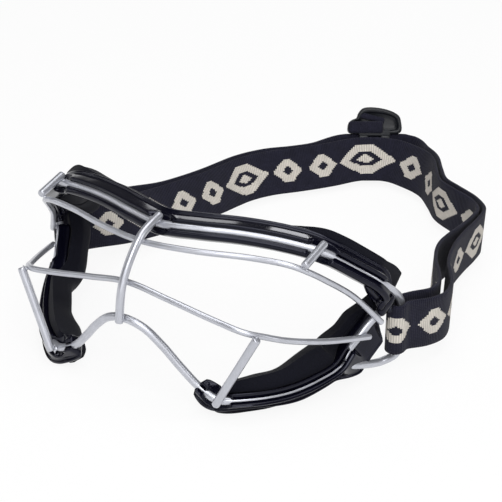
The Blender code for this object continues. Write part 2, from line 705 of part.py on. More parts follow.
def build_slider(hinge, bar):
    """Strap slider: a crest and a foot, with two bars inside the band and one outside it."""
    turn = Euler((-BACK_LEAN, 0, SLIDER_TURN))
    foot = Vector((*SLIDER_CENTRE, 0)) * MM
    foot.z = BACK_LIFT + STRAP_THICK / 2 * math.sin(BACK_LEAN)
    middle = foot + turn.to_matrix() @ Vector((0, 0, STRAP_WIDTH / 2)) - Vector((0, bar.y, bar.z))
    carriage = empty("slider_carriage", hinge, middle, turn)
    near = STRAP_THICK / 2 + SLIDER_FIT
    far = near + SLIDER_BAR
    edge = STRAP_WIDTH / 2 + SLIDER_FIT
    half = SLIDER_LENGTH / 2
    grip = SLIDER_GRIP / 2
    rings = [[Vector((half * x, y, edge + SLIDER_CREST * z)) for x, z in CREST_OUTLINE] for y in (-far, far)]
    slider = place("strap_slider", swept_mesh("slider_crest", rings), PLASTIC, carriage)
    low, high = (-grip, -far, -edge - SLIDER_FOOT), (grip, far, -edge)
    join(slider, block("slider_rail_lower", low, high, carriage))
    sunk = edge + SLIDER_FOOT / 2
    reach = SLIDER_BAR_LENGTH / 2
    inset = SLIDER_BAR / 8
    for name, x, y in (("left", reach - grip, -1), ("right", grip - reach, -1), ("middle", 0, 1)):
        sides = sorted((y * near, y * (far - inset)))
        low, high = (x - reach + inset, sides[0], -sunk), (x + reach - inset, sides[1], sunk)
        join(slider, block(f"slider_bar_{name}", low, high, carriage))
    soften = slider.modifiers.new("Bevel", "BEVEL")
    soften.width = SLIDER_BAR / 4
    soften.segments = 2
    soften.limit_method = "ANGLE"
    soften.angle_limit = math.radians(30)


def centre_on_origin(stand):
    """Put the middle of the whole outline over the origin."""
    bpy.context.view_layer.update()
    graph = bpy.context.evaluated_depsgraph_get()
    corners = []
    for thing in PARTS.objects:
        if thing.type != "EMPTY":
            shape = thing.evaluated_get(graph)
            corners += [thing.matrix_world @ vertex.co for vertex in shape.to_mesh().vertices]
            shape.to_mesh_clear()
    low = np.min(np.array(corners), axis=0)
    high = np.max(np.array(corners), axis=0)
    stand.location = (-(low[0] + high[0]) / 2, -(low[1] + high[1]) / 2, 0)


def main():
    stand = empty("stand")
    root = empty("cage_lean", stand, (0, 0, REST_HEIGHT), (-LEAN, 0, 0))
    ring, half, post, brow_seat, cheek_seat = build_cage(root)
    channel = FRAME_WIRE + 2 * GROOVE_FIT
    nose = len(half) - 1
    ring_channel = wire_cutter("ring_channel", ring[nose:] + ring[:nose + 1], channel, root)
    post_channels = [wire_cutter(f"post_channel_{side}", turn(post), channel, root)
                     for side, turn in (("left", list), ("right", mirrored))]
    brow = brow_path(post)
    cheek = cheek_path(post)
    scoops = [pocket("pocket_nose", half[0], brow, root), pocket("pocket_brow_left", brow_seat, brow, root)]
    scoops.append(mesh_cutter("pocket_brow_right", reflect(scoops[-1].data), root))
    build_brow(root, brow, [ring_channel] + post_channels + scoops)
    cheek_scoop = pocket("pocket_cheek", cheek_seat, cheek, root)
    build_cheeks(root, cheek, [ring_channel, post_channels[0], cheek_scoop], table_cutter(stand))
    bar = loop_bar()
    hinge = build_strap(stand, bar)
    build_slider(hinge, bar)
    centre_on_origin(stand)


clear_scene()
PARTS = collection("sports_eye_guard")
CUTTERS = collection("cutters")
STEEL = material("silver_painted_steel", srgb(168, 171, 180), 0.32, 0.75)
GLOSS = material("gloss_black_moulding", srgb(34, 34, 44), 0.12)
FOAM = material("matt_black_foam", srgb(34, 34, 40), 0.9)
ELASTIC = material("navy_black_elastic", srgb(42, 42, 54), 0.8)
PLASTIC = material("satin_black_plastic", srgb(34, 36, 40), 0.35)
main()
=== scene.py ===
"""Looks of a wire-cage sports eye guard on a doubled elastic strap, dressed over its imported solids."""
import math

import bmesh
import bpy
from bpy.props import FloatProperty, FloatVectorProperty, PointerProperty
from mathutils import Euler, Matrix, Vector, noise


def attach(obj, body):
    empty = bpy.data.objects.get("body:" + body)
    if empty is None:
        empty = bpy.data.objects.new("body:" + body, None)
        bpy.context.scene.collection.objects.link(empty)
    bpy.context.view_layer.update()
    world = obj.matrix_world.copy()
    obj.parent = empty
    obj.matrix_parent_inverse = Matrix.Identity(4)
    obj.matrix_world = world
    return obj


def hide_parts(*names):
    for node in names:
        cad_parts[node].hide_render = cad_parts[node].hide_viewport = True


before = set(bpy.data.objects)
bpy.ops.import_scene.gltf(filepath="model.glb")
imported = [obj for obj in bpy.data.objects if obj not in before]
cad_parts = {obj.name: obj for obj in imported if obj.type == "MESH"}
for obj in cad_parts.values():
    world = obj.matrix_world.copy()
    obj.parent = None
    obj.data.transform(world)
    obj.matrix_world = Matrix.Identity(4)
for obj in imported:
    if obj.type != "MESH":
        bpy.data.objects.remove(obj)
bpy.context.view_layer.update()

bl_info = {
    "name": "Sports eye guard",
    "version": (1, 0, 0),
    "blender": (4, 5, 0),
    "location": "View3D > Sidebar > Eye guard",
    "description": "Dresses a wire-cage eye guard: cage, mouldings, foam, strap, slider and stage",
    "category": "Object",
}

MM = 0.001

# How the guard lies: lean of the cage, its height over the table, the head's axis and the strap's hinge
LEAN = math.radians(37.8)
REST_HEIGHT = 35.0 * MM
HEAD_AXIS = 85.0 * MM
SWING_PLACE = Vector((-0.00338, -0.04884, 0.02149))

# Gaps, ends and sampling of the wires
WELD_GAP = 0.3 * MM
BAR_OVERHANG = 1.6 * MM
STRUT_OVERHANG = 1.0 * MM
CHEEK_OVERHANG = 0.2 * MM
WIRE_STEP = 1.2 * MM

# Routes of the wires in the cage's own frame, in millimetres
BROW_ROUTE = [(0, -17.6, 23.6), (15, -14.6, 25.8), (30, -9.6, 28.8), (46, -4.4, 30.8),
              (60.4, 0.6, 31.2), (71, 10.2, 29.7), (79, 20.5, 27.8)]
LOOP_ROUTE = [(80.6, 28, 27.3), (81.3, 35.4, 26.2), (81.4, 41.4, 22.8), (81.4, 47.8, 12.2),
              (81.2, 51.2, 6.2), (77.8, 47.6, 1.2), (73.6, 37.2, -3.2)]
CHEEK_ROUTE = [(70, 28.6, -6.2), (65, 22.6, -13.6), (58, 15.6, -21.9), (47.5, 6.4, -29.2), (37.1, 0.8, -33)]
ARCH_ROUTE = [(29.4, -1.2, -30.6), (22, -7, -25.6), (15, -13.4, -20.1), (8, -18.2, -16.1),
              (0, -20.2, -14.8)]
UPPER_ROUTE = [(0, -25.3, 14.5), (20, -22.3, 16.4), (40, -16, 20.2), (54, -12.3, 21.8), (60.2, -8, 21.7),
               (64.5, 0.6, 21.3), (71, 15.4, 19.8)]
MIDDLE_ROUTE = [(0, -26.7, -1.8), (18, -24, -3.7), (36, -20.3, -5.9), (48, -18, -6.9), (54, -13, -6),
                (60, -3.4, -4.2), (68, 11.6, 0.4)]
POST_ROUTE = [(80.4, 27.6, 23.4), (78, 30.6, 19.6), (75, 31, 14.5), (72.4, 29.9, 7), (70.2, 28.9, 0)]
UPPER_LAP = 16.4 * MM
MIDDLE_LAP = 8.4 * MM
TOP_STRUT_AT_BROW = 59.4 * MM
TOP_STRUT_AT_BAR = 58.6 * MM
LOW_STRUT_AT_BAR = 51.6 * MM
LOW_STRUT_AT_CHEEK = 37.1 * MM

# Mouldings: rim away from the opening, inner side towards it, lips, ends, and where each takes over
GROOVE_FIT = 0.3 * MM
BROW_RIM = 7.0 * MM
BROW_SIDE_RIM = 6.4 * MM
RIM_DROPS = 52.0 * MM
RIM_DROPPED = 64.0 * MM
CHEEK_RIM = 4.8 * MM
NOSE_RIM = 5.0 * MM
SIDE_RIM = 6.4 * MM
TEMPLE_RIM = 2.4 * MM
WING_RIM = 11.8 * MM
WING_STARTS = -9.5 * MM
WING_LOW = -2.0 * MM
WING_HIGH = 11.0 * MM
WING_ENDS = 17.0 * MM
MOULD_INNER = 4.0 * MM
CHEEK_INNER = 2.7 * MM
NOSE_INNER = 5.4 * MM
MOULD_BACK = 4.0 * MM
RIM_EDGE = 1.2 * MM
BROW_LIP = 1.95 * MM
COVER_LIP = 2.3 * MM
COVER_STARTS = 54.0 * MM
COVER_FULL = 61.0 * MM
SLEEVE = 0.5 * MM
SLEEVE_HEIGHT = 17.3 * MM
WINDOW_LIP = -0.7 * MM
WINDOW_INNER_LIP = 1.1 * MM
LIP_WIDTH = 2.6 * MM
LIP_DROP = 0.4 * MM
FACE_BULGE = 0.22 * MM
BROW_END_HEIGHT = 20.4 * MM
BROW_TAB_HEIGHT = 19.8 * MM
CHEEK_TOP_HEIGHT = 16.6 * MM
BROW_BEND = 2.0 * MM
BROW_BEND_AT = 0.65
CHEEK_BEND = 1.3 * MM
CHEEK_BEND_AT = 0.5
POST_CLEAR = 2.0 * MM
WINDOW_BOTTOM = 2.4 * MM
SIDE_STARTS = -30.0 * MM
SIDE_FULL = -18.0 * MM
TAPER_STARTS = 21.0 * MM
TAPER_ENDS = 30.0 * MM
NOSE_END = 28.6 * MM
NOSE_ROUND = 6.0 * MM
NOSE_LEAST = 0.12
FLANGE_WIDE = NOSE_END + 6.0 * MM
FLANGE_GONE = NOSE_END + 13.0 * MM
LEFT_SPLAY = -1.2 * MM
RIGHT_SPLAY = 4.2 * MM
SPLAY_STARTS = LOW_STRUT_AT_CHEEK - 5.0 * MM
SPLAY_FULL = LOW_STRUT_AT_CHEEK + 8.0 * MM
LIP_FADES = 2.0 * MM
POST_COVER = 3.0 * MM
WINDOW_EDGE = 1.4 * MM
WEB_STARTS = 14.0 * MM
WEB_BULGE = 2.4 * MM
POCKET_HALF = 5.6 * MM
POCKET_DEPTH = 1.3 * MM
POCKET_STRETCH = 1.3
POCKET_REACH = 1.6
POCKET_LIP = 0.4 * MM
POCKET_LIP_WIDTH = 0.7 * MM
CREASE = 0.9 * MM
CREASES_PER_METRE = 300.0
MOULD_STEP = 0.9 * MM
# Rounded ends: how far from the end a section starts to draw in, and how small it gets
BROW_END = (1.6 * MM, 0.72)
CHEEK_END = (1.4 * MM, 0.7)
BROW_FOAM_END = (3.0 * MM, 0.55)
CHEEK_FOAM_END = (3.2 * MM, 0.5)

# Foam: thickness, reach outward and inward, and where each takes over
FOAM_THICK = 12.0 * MM
FOAM_REST_THICK = 9.0 * MM
FOAM_CHEEK_THICK = 4.5 * MM
FOAM_TEMPLE_THICK = 8.5 * MM
FOAM_THINS = -29.0 * MM
FOAM_THIN = -23.0 * MM
FOAM_THICKENS = -14.0 * MM
FOAM_GAP = 0.3 * MM
FOAM_BROW_OUT = 6.4 * MM
FOAM_END_OUT = 9.4 * MM
FOAM_WIDENS = 40.0 * MM
FOAM_WIDE = 62.0 * MM
FOAM_CHEEK_OUT = 4.4 * MM
FOAM_TEMPLE_OUT = 2.4 * MM
FOAM_WING_OUT = 11.5 * MM
FOAM_TIP_OUT = 9.8 * MM
LEFT_FOAM_SPREAD = 3.8 * MM
RIGHT_FOAM_SPREAD = 0.3 * MM
# Shares of a cheek pad's spread: at its nose end, then added or taken between two heights
SPREAD_AT_NOSE = 0.35
SPREAD_STEPS = [(1.4, -25.0 * MM, -7.0 * MM), (-0.9, -4.0 * MM, 6.0 * MM), (-0.85, 10.0 * MM, 18.0 * MM)]
FOAM_WRAP = 4.7 * MM
FOAM_WRAP_HIGH = 4.0 * MM
FOAM_WRAP_LOW = -9.0 * MM
FOAM_BROW_IN = 1.0 * MM
FOAM_CHEEK_IN = 7.6 * MM
FOAM_NOSE_IN = 4.4 * MM
FOAM_TEMPLE_IN = 3.0 * MM
FOAM_NARROWS = -20.0 * MM
FOAM_ROUND = 2.6 * MM
FOAM_NOSE_END = 34.5 * MM
FOAM_TOP_HEIGHT = 20.6 * MM
FOAM_SWELL = 0.22 * MM
SWELLS_PER_METRE = 90.0

# Strap: plan of its runs on the table, in millimetres, and how it leans
STRAP_PLAY = 0.8 * MM
FOLD_REACH = 6.4 * MM
FOLD_TURN = math.radians(5)
BACK_LEAN = math.radians(26)
RIGHT_LEAN = math.radians(2)
LEAN_STARTS = 46.0 * MM
LEAN_FULL = 95.0 * MM
LEAN_EASES = 8.0 * MM
LEAN_EASED = 46.0 * MM
DROP_ENDS = 175.0 * MM
BAND_STEP = 5.0 * MM
BAND_SWAY = 0.25 * MM
SWAYS_PER_METRE = 60.0
BAND_SIDES = 14
SELVEDGE = 0.1 * MM
SELVEDGE_THICK = 0.55
SELVEDGE_SHARE = 0.02
STRAP_STEP = 1.0 * MM
INNER_RUN = [(-74.2, 53.8), (-63.1, 70.9), (-54.5, 95.6), (-47.9, 121.2), (-43, 143.5), (-37.5, 154.1),
             (-27.9, 165.5), (-15.4, 181.2), (-6.3, 193.3), (3.2, 197.4), (13.3, 195.8), (25.4, 191),
             (35.1, 180.7), (43.3, 170.7), (53, 164.2), (64, 158.6), (70.3, 151.1), (71.5, 141),
             (70.9, 128.3), (70, 119.1), (70, 110), (72.1, 100.2), (76.6, 89.5), (82.1, 80.2), (86, 71.4),
             (86.3, 63.1), (81.5, 54.3)]
OUTER_RIGHT = [(90.1, 53.8), (92.6, 62.6), (90.8, 73), (86.5, 82.2), (81.4, 91.5), (78.1, 101.8),
               (75.8, 114), (74.9, 127.3), (74.7, 140.5), (72.9, 152.6), (65.6, 161.1), (55, 167.3),
               (45.3, 173.3), (37.5, 182.7), (27.8, 193.4), (16.8, 200)]
OUTER_LEFT = [(-22.2, 177.9), (-31, 166.5), (-40.7, 156.1), (-46.5, 144.5), (-51.3, 122.2), (-58.1, 97.2),
              (-68.3, 79.7), (-78.2, 66.8), (-85.1, 55.4)]

# Slider: its place on the table in millimetres, its turn and its own sizes
SLIDER_CENTRE = (-3.7, 199.8)
SLIDER_TURN = math.radians(30)
SLIDER_GRIP = 16.0 * MM
SLIDER_TRAVEL = 4.0 * MM
SLIDER_FIT = 0.35 * MM
SLIDER_FOOT = 1.6 * MM
SLIDER_BAR = 1.8 * MM
SLIDER_LENGTH = 27.0 * MM
SLIDER_CREST = 13.0 * MM
SLIDER_SKIRT = 1.6 * MM
SLIDER_ROUND = 0.5 * MM
CREST_ROOT = 1.5 * MM
CREST_STEP = 0.8 * MM
PRONG_HALF = 2.3 * MM
PRONG_INSET = 2.5 * MM
PRONG_ROOT = 0.8 * MM
PRONG_SUNK = 0.2 * MM
FOLD_TILT = math.radians(14)
# Crest outline as shares of half the length and of the crest's height
CREST_OUTLINE = [(-0.97, 0.02), (0, 0), (0.98, 0.02), (1, 0.44), (0.93, 0.65), (0.72, 0.81), (0.3, 0.95),
                 (-0.2, 1), (-0.45, 0.95), (-0.6, 0.78), (-0.68, 0.58), (-0.82, 0.52), (-0.95, 0.42),
                 (-1, 0.28)]
# Crest section from its rear to its sunk face: millimetres in from the outline and forward
CREST_SECTION = [(3.4, 0), (1.0, 0), (0.3, 0.3), (0, 0.9), (0, 4.9), (0.25, 5.5), (0.8, 5.9), (1.5, 5.85),
                 (2.0, 5.4), (2.2, 4.6), (2.5, 4.1), (4.4, 3.9)]
BACK_LIFT = ((SLIDER_FIT + SLIDER_FOOT) * math.cos(BACK_LEAN)
             + (SLIDER_FIT + SLIDER_BAR) * math.sin(BACK_LEAN))


def shade(red, green, blue):
    """Linear colour from 0 to 255 values."""
    return tuple((v / 255) ** 2.2 for v in (red, green, blue))


# Routes

def mm(points):
    """Turn rows of millimetres into vectors in metres."""
    return [Vector(point) * MM for point in points]


def mirrored(points):
    """Reflect points across the middle plane."""
    return [Vector((-p.x, p.y, p.z)) for p in points]


def both_sides(points):
    """A whole route from its half, which starts on the middle plane."""
    return mirrored(points[:0:-1]) + points


def smooth(points, step, cyclic=False):
    """Sample a centripetal Catmull-Rom curve through the points about every step."""
    points = [Vector(p) for p in points]
    if cyclic:
        ring = [points[-1]] + points + points[:2]
    else:
        ring = [2 * points[0] - points[1]] + points + [2 * points[-1] - points[-2]]
    samples = []
    for a, b, c, d in zip(ring, ring[1:], ring[2:], ring[3:]):
        t1 = max((b - a).length, 1e-9) ** 0.5
        t2 = t1 + max((c - b).length, 1e-9) ** 0.5
        t3 = t2 + max((d - c).length, 1e-9) ** 0.5
        count = max(1, round((c - b).length / step))
        for i in range(count):
            t = t1 + (t2 - t1) * i / count
            ab = a + (b - a) * (t / t1)
            bc = b + (c - b) * ((t - t1) / (t2 - t1))
            cd = c + (d - c) * ((t - t2) / (t3 - t2))
            abc = ab + (bc - ab) * (t / t2)
            bcd = bc + (cd - bc) * ((t - t1) / (t3 - t1))
            samples.append(abc + (bcd - abc) * ((t - t1) / (t2 - t1)))
    if not cyclic:
        samples.append(points[-1].copy())
    return samples


def directions(points, cyclic=False):
    """Unit tangents along a row of points."""
    ends = [points[-1]] + points + [points[0]] if cyclic else [points[0]] + points + [points[-1]]
    return [(after - before).normalized() for before, after in zip(ends, ends[2:])]


def crossing(points, coordinate, value):
    """Point and tangent where a row of points first passes a value of one coordinate."""
    for a, b in zip(points, points[1:]):
        low, high = sorted((a[coordinate], b[coordinate]))
        if low <= value <= high and high > low:
            share = (value - a[coordinate]) / (b[coordinate] - a[coordinate])
            return a.lerp(b, share), (b - a).normalized()
    raise ValueError("The route never reaches that place")


def blend(value, start, end):
    """0 before start, 1 after end, and smooth between."""
    share = min(1.0, max(0.0, (value - start) / (end - start)))
    return share * share * (3 - 2 * share)


def mix(a, b, share):
    """What lies a share of the way from a to b."""
    return a + (b - a) * share


def ring_half():
    """The +x half of the perimeter wire, from brow to nose arch."""
    half = mm(BROW_ROUTE + LOOP_ROUTE + CHEEK_ROUTE + ARCH_ROUTE)
    ring = smooth(half + mirrored(half[-2:0:-1]), WIRE_STEP, cyclic=True)
    nose = min(range(1, len(ring)), key=lambda i: abs(ring[i].x) + (ring[i].z > 0))
    return ring, ring[:nose + 1]


def butt(ring, towards, wire):
    """A wire end that stops just short of the ring's surface on the side that it comes from."""
    index = min(range(len(ring)), key=lambda i: (ring[i] - towards).length)
    seat, along = ring[index], directions(ring)[index]
    out = (towards - seat).normalized()
    return seat + out * (wire / 2 + WELD_GAP + wire / 2 * abs(out.dot(along)))


def bar_route(route, lap_height, post, wire, bar):
    """A whole bar whose ends lap the outside of the two posts, and the place of its lap."""
    points = mm(route)
    seat, post_along = crossing(post, 2, lap_height)
    along = (seat - points[-1]).normalized()
    out = along.cross(post_along).normalized()
    out = out if out.x > 0 else -out
    lap = seat + out * (wire / 2 + bar / 2 + WELD_GAP)
    along = (lap - points[-1]).normalized()
    points += [lap, lap + along * BAR_OVERHANG]
    return smooth(both_sides(points), WIRE_STEP), (seat, post_along, lap, along)


def laid_over(seat, seat_along, strut_along, seat_wire, wire):
    """Centre of a strut that crosses in front of a wire and touches it but for the weld gap."""
    out = seat_along.cross(strut_along).normalized()
    out = out if out.y < 0 else -out
    return seat + out * (seat_wire / 2 + wire / 2 + WELD_GAP)


def strut_route(first, second, first_wire, second_wire, wire, overhang):
    """Straight strut laid over two wires, given as their points and tangents."""
    along = (second[0] - first[0]).normalized()
    start = laid_over(*first, along, first_wire, wire)
    end = laid_over(*second, along, second_wire, wire)
    along = (end - start).normalized()
    return [start - along * STRUT_OVERHANG, start, end, end + along * overhang]


class Cage:
    """Every route of the cage, worked out once from the wire sizes."""

    def __init__(self, sizes):
        self.wire, self.bar = wire, bar = sizes.wire, sizes.bar
        self.ring, self.half = ring_half()
        points = mm(POST_ROUTE)
        ends = [butt(self.half, points[0], wire), butt(self.half, points[-1], wire)]
        self.post = smooth(ends[:1] + points + ends[1:], WIRE_STEP)
        self.upper, upper_lap = bar_route(UPPER_ROUTE, UPPER_LAP, self.post, wire, bar)
        self.middle, middle_lap = bar_route(MIDDLE_ROUTE, MIDDLE_LAP, self.post, wire, bar)
        self.brow_seat = crossing(self.half, 0, TOP_STRUT_AT_BROW)
        self.cheek_seat = crossing(self.half[::-1], 0, LOW_STRUT_AT_CHEEK)
        upper_seat = crossing(self.upper, 0, TOP_STRUT_AT_BAR)
        middle_seat = crossing(self.middle, 0, LOW_STRUT_AT_BAR)
        self.top = strut_route(self.brow_seat, upper_seat, wire, bar, wire, STRUT_OVERHANG)
        self.low = strut_route(middle_seat, self.cheek_seat, bar, wire, wire, CHEEK_OVERHANG)
        self.nose, nose_seats = self.nose_strut()
        self.welds = self.weld_places(upper_lap, middle_lap, upper_seat, middle_seat, nose_seats)

    def nose_strut(self):
        """Bowed strut in the middle plane, laid over the brow, both bars and the nose arch."""
        across = Vector((1, 0, 0))
        on_bars = [crossing(bar, 0, 0.0)[0] for bar in (self.upper, self.middle)]
        seats = [self.half[0], *on_bars, self.half[-1]]
        wires = [self.wire, self.bar, self.bar, self.wire]
        alongs = directions(seats)
        points = [laid_over(seat, across, along, size, self.wire)
                  for seat, along, size in zip(seats, alongs, wires)]
        start = points[0] + (points[0] - points[1]).normalized() * STRUT_OVERHANG
        end = points[-1] + (points[-1] - points[-2]).normalized() * STRUT_OVERHANG
        places = [(seat, across, point, along) for seat, point, along in zip(seats, points, alongs)]
        return smooth([start] + points + [end], WIRE_STEP), places

    def weld_places(self, upper_lap, middle_lap, upper_seat, middle_seat, nose_seats):
        """Each weld as the two wires' points and directions."""
        top_along = (self.top[2] - self.top[1]).normalized()
        low_along = (self.low[2] - self.low[1]).normalized()
        sided = [upper_lap, middle_lap,
                 (*self.brow_seat, self.top[1], top_along), (*upper_seat, self.top[2], top_along),
                 (*middle_seat, self.low[1], low_along), (*self.cheek_seat, self.low[2], low_along)]
        return sided + [mirrored(weld) for weld in sided] + nose_seats


# Meshes

def section_frames(path, cyclic=False):
    """Place, outward direction and front direction of the section at each point of a path."""
    frames = []
    for point, along in zip(path, directions(path, cyclic)):
        front = Vector((point.x, point.y - HEAD_AXIS, 0)).normalized()
        front = (front - along * front.dot(along)).normalized()
        frames.append((point, front.cross(along), front))
    return frames


def set_out(place, profile):
    """Points of a profile, given as outward and front measures, at one place of a path."""
    point, outward, front = place
    return [point + outward * o + front * f for o, f in profile]


def skin(name, *runs, cyclic=False):
    """Smooth-shaded mesh through runs of equal rings, each capped at both ends unless it closes."""
    mesh = bpy.data.meshes.new(name)
    bm = bmesh.new()
    for rings in runs:
        rows = [[bm.verts.new(point) for point in ring] for ring in rings]
        pairs = list(zip(rows, rows[1:]))
        if cyclic:
            pairs.append((rows[-1], rows[0]))
        for near, far in pairs:
            for i in range(len(near)):
                j = (i + 1) % len(near)
                bm.faces.new((near[i], near[j], far[j], far[i]))
        for ring in () if cyclic else (rows[0], rows[-1]):
            middle = bm.verts.new(sum((v.co for v in ring), Vector()) / len(ring))
            for i in range(len(ring)):
                bm.faces.new((ring[i], ring[(i + 1) % len(ring)], middle))
    bmesh.ops.recalc_face_normals(bm, faces=bm.faces)
    bm.to_mesh(mesh)
    bm.free()
    mesh.shade_smooth()
    return mesh


def dress(name, mesh, finish, body, nodes=(), place=None):
    """Link a piece with its finish, in place, riding a body and standing for its nodes."""
    made = bpy.data.objects.new(name, mesh)
    bpy.context.scene.collection.objects.link(made)
    made.data.materials.append(finish)
    if place is not None:
        mesh.transform(place)
        if place.determinant() < 0:
            mesh.flip_normals()
    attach(made, body)
    if nodes:
        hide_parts(*nodes)
    return made


def loop_bar():
    """Middle of the temple loop's upright stretch on +x, in the table's frame."""
    top, foot = mm(LOOP_ROUTE[2:4])
    return Matrix.Rotation(-LEAN, 3, "X") @ ((top + foot) / 2) + Vector((0, 0, REST_HEIGHT))


def table_place():
    """The table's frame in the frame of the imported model."""
    return Matrix.Translation((SWING_PLACE.x, SWING_PLACE.y - loop_bar().y, 0))


def cage_place():
    """The cage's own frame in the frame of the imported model."""
    return table_place() @ Matrix.Translation((0, 0, REST_HEIGHT)) @ Matrix.Rotation(-LEAN, 4, "X")


def flatten(mesh, place):
    """Press what lies under the table up to it, as the weight of the guard does."""
    back = place.inverted()
    for vertex in mesh.vertices:
        world = place @ vertex.co
        if world.z < 0:
            world.z = 0
            vertex.co = back @ world


# Finishes

def add(tree, kind, links=None, **values):
    """A node with its settings, its socket values and what feeds it."""
    made = tree.nodes.new(kind)
    for key, value in values.items():
        setattr(made, key, value)
    for socket, value in (links or {}).items():
        if isinstance(value, bpy.types.NodeSocket):
            tree.links.new(value, made.inputs[socket])
        else:
            made.inputs[socket].default_value = value
    return made


def maths(tree, operation, first, second=None, third=None):
    """One sum of a pattern, from numbers or other sums."""
    links = {i: v for i, v in enumerate((first, second, third)) if v is not None}
    return add(tree, "ShaderNodeMath", links, operation=operation).outputs[0]


def spread(tree, feed, low, high, start=0.0, end=1.0):
    """A feed from 0 to 1 laid out between two values."""
    links = {0: feed, 1: start, 2: end, 3: low, 4: high}
    return add(tree, "ShaderNodeMapRange", links).outputs[0]


def scaled(colour, share):
    """A colour made lighter or darker."""
    return tuple(min(1.0, v * share) for v in colour)


def toned(tree, feed, colour, low, high, end=0.75):
    """A colour that goes from one share of itself to another along a feed."""
    made = add(tree, "ShaderNodeValToRGB", {0: feed})
    for element, at, share in zip(made.color_ramp.elements, (0.3, end), (low, high)):
        element.position = at
        element.color = (*scaled(colour, share), 1.0)
    return made.outputs["Color"]


def finish(name, **sockets):
    """A new finish with its shader's constant values, its tree and its shader."""
    made = bpy.data.materials.new(name)
    made.use_nodes = True
    shader = made.node_tree.nodes["Principled BSDF"]
    for socket, value in sockets.items():
        shader.inputs[socket.replace("_", " ")].default_value = value
    return made, made.node_tree, shader


def coordinates(tree, kind="Object"):
    """Where a pattern is read: on the object, its map or the sky."""
    return add(tree, "ShaderNodeTexCoord").outputs[kind]


def grain(tree, place, scale, detail=3.0, roughness=0.5):
    """Cloudy noise from 0 to 1."""
    links = {"Vector": place, "Scale": scale, "Detail": detail, "Roughness": roughness}
    return add(tree, "ShaderNodeTexNoise", links).outputs["Fac"]


def surface(tree, shader, tone, dull, height, strength, distance):
    """Feed a shader its colour, its roughness and its bump from a height."""
    bump = add(tree, "ShaderNodeBump", {"Height": height, "Strength": strength, "Distance": distance})
    feeds = {"Base Color": tone, "Roughness": dull, "Normal": bump.outputs["Normal"]}
    for socket, feed in feeds.items():
        tree.links.new(feed, shader.inputs[socket])


def join_colour(tree, share, first, second):
    """Mix a fixed colour or a feed with a second feed."""
    links = {0: share, 6: (*first, 1.0) if isinstance(first, tuple) else first, 7: second}
    return add(tree, "ShaderNodeMix", links, data_type="RGBA").outputs[2]


def silver_paint(colour):
    """Silver paint on steel wire: fine flake under a clear coat, a little cloudy."""
    made, tree, shader = finish("silver_wire_paint", Metallic=0.7, Coat_Weight=0.2, Coat_Roughness=0.12)
    place = coordinates(tree)
    tone = toned(tree, grain(tree, place, 180.0), colour, 0.94, 1.05, 0.7)
    dull = spread(tree, grain(tree, place, 120.0, 2.0), 0.28, 0.32, 0.3, 0.7)
    surface(tree, shader, tone, dull, grain(tree, place, 700.0, 2.0), 0.02, 0.02 * MM)
    return made


def gloss_moulding(colour):
    """Glossy soft moulding with faint flow marks, duller where they run."""
    made, tree, shader = finish("gloss_black_moulding", IOR=1.45, Specular_IOR_Level=0.36,
                                Specular_Tint=(0.8, 0.82, 1.0, 1.0))
    place = coordinates(tree)
    flow = grain(tree, place, 120.0, 4.0, 0.55)
    dull = spread(tree, flow, 0.06, 0.15, 0.3, 0.8)
    surface(tree, shader, toned(tree, flow, colour, 0.85, 1.25), dull, grain(tree, place, 300.0),
            0.12, 0.1 * MM)
    return made


def foam_skin(colour):
    """Matt closed-cell foam: fine cells with painted shade in their pits, and a faint bloom."""
    made, tree, shader = finish("matt_black_foam", Sheen_Weight=0.05, Sheen_Roughness=0.6,
                                Specular_IOR_Level=0.14)
    place = coordinates(tree)
    cells = add(tree, "ShaderNodeTexVoronoi", {"Vector": place, "Scale": 1500.0}).outputs["Distance"]
    patch = grain(tree, place, 70.0, 5.0, 0.6)
    # Painted shade: each cell's middle, where the bump sinks into a pit, is darkened towards 0.55 of the
    # colour.
    tone = join_colour(tree, spread(tree, cells, 0.0, 0.5, 0.1, 0.5), scaled(colour, 0.55),
                       toned(tree, patch, colour, 0.8, 1.25))
    height = maths(tree, "ADD", cells, maths(tree, "MULTIPLY", patch, 1.5))
    surface(tree, shader, tone, spread(tree, patch, 0.78, 0.95), height, 0.3, 0.2 * MM)
    return made


RIB = 0.9 * MM
PICK = 0.7 * MM
# Lozenges of the motif: place along the repeat, then each layer's half length, half height and clip
MOTIF = [(0, [("ADD", 13, 9.4, 7.2), ("SUBTRACT", 7.2, 5.2, 3.6), ("ADD", 3.7, 2.4, 2)]),
         (-22.5, [("ADD", 7.8, 7.4, 5.7), ("SUBTRACT", 2.9, 2.4, 2.1)]),
         (22.5, [("ADD", 7.8, 7.4, 5.7), ("SUBTRACT", 2.9, 2.4, 2.1)])]


def stepped(tree, feed, size):
    """A measure rounded down to whole threads, at the thread's middle."""
    whole = maths(tree, "FLOOR", maths(tree, "DIVIDE", feed, size))
    return maths(tree, "MULTIPLY", maths(tree, "ADD", whole, 0.5), size)


def lozenge(tree, along, across, middle, half_long, half_tall, clip):
    """1 inside a lozenge with a clipped top and foot that stands at middle along the repeat, 0 outside."""
    x = maths(tree, "DIVIDE", maths(tree, "ABSOLUTE", maths(tree, "SUBTRACT", along, middle)), half_long)
    tall = maths(tree, "ABSOLUTE", across)
    inside = maths(tree, "LESS_THAN", maths(tree, "ADD", x, maths(tree, "DIVIDE", tall, half_tall)), 1.0)
    return maths(tree, "MULTIPLY", inside, maths(tree, "LESS_THAN", tall, clip))


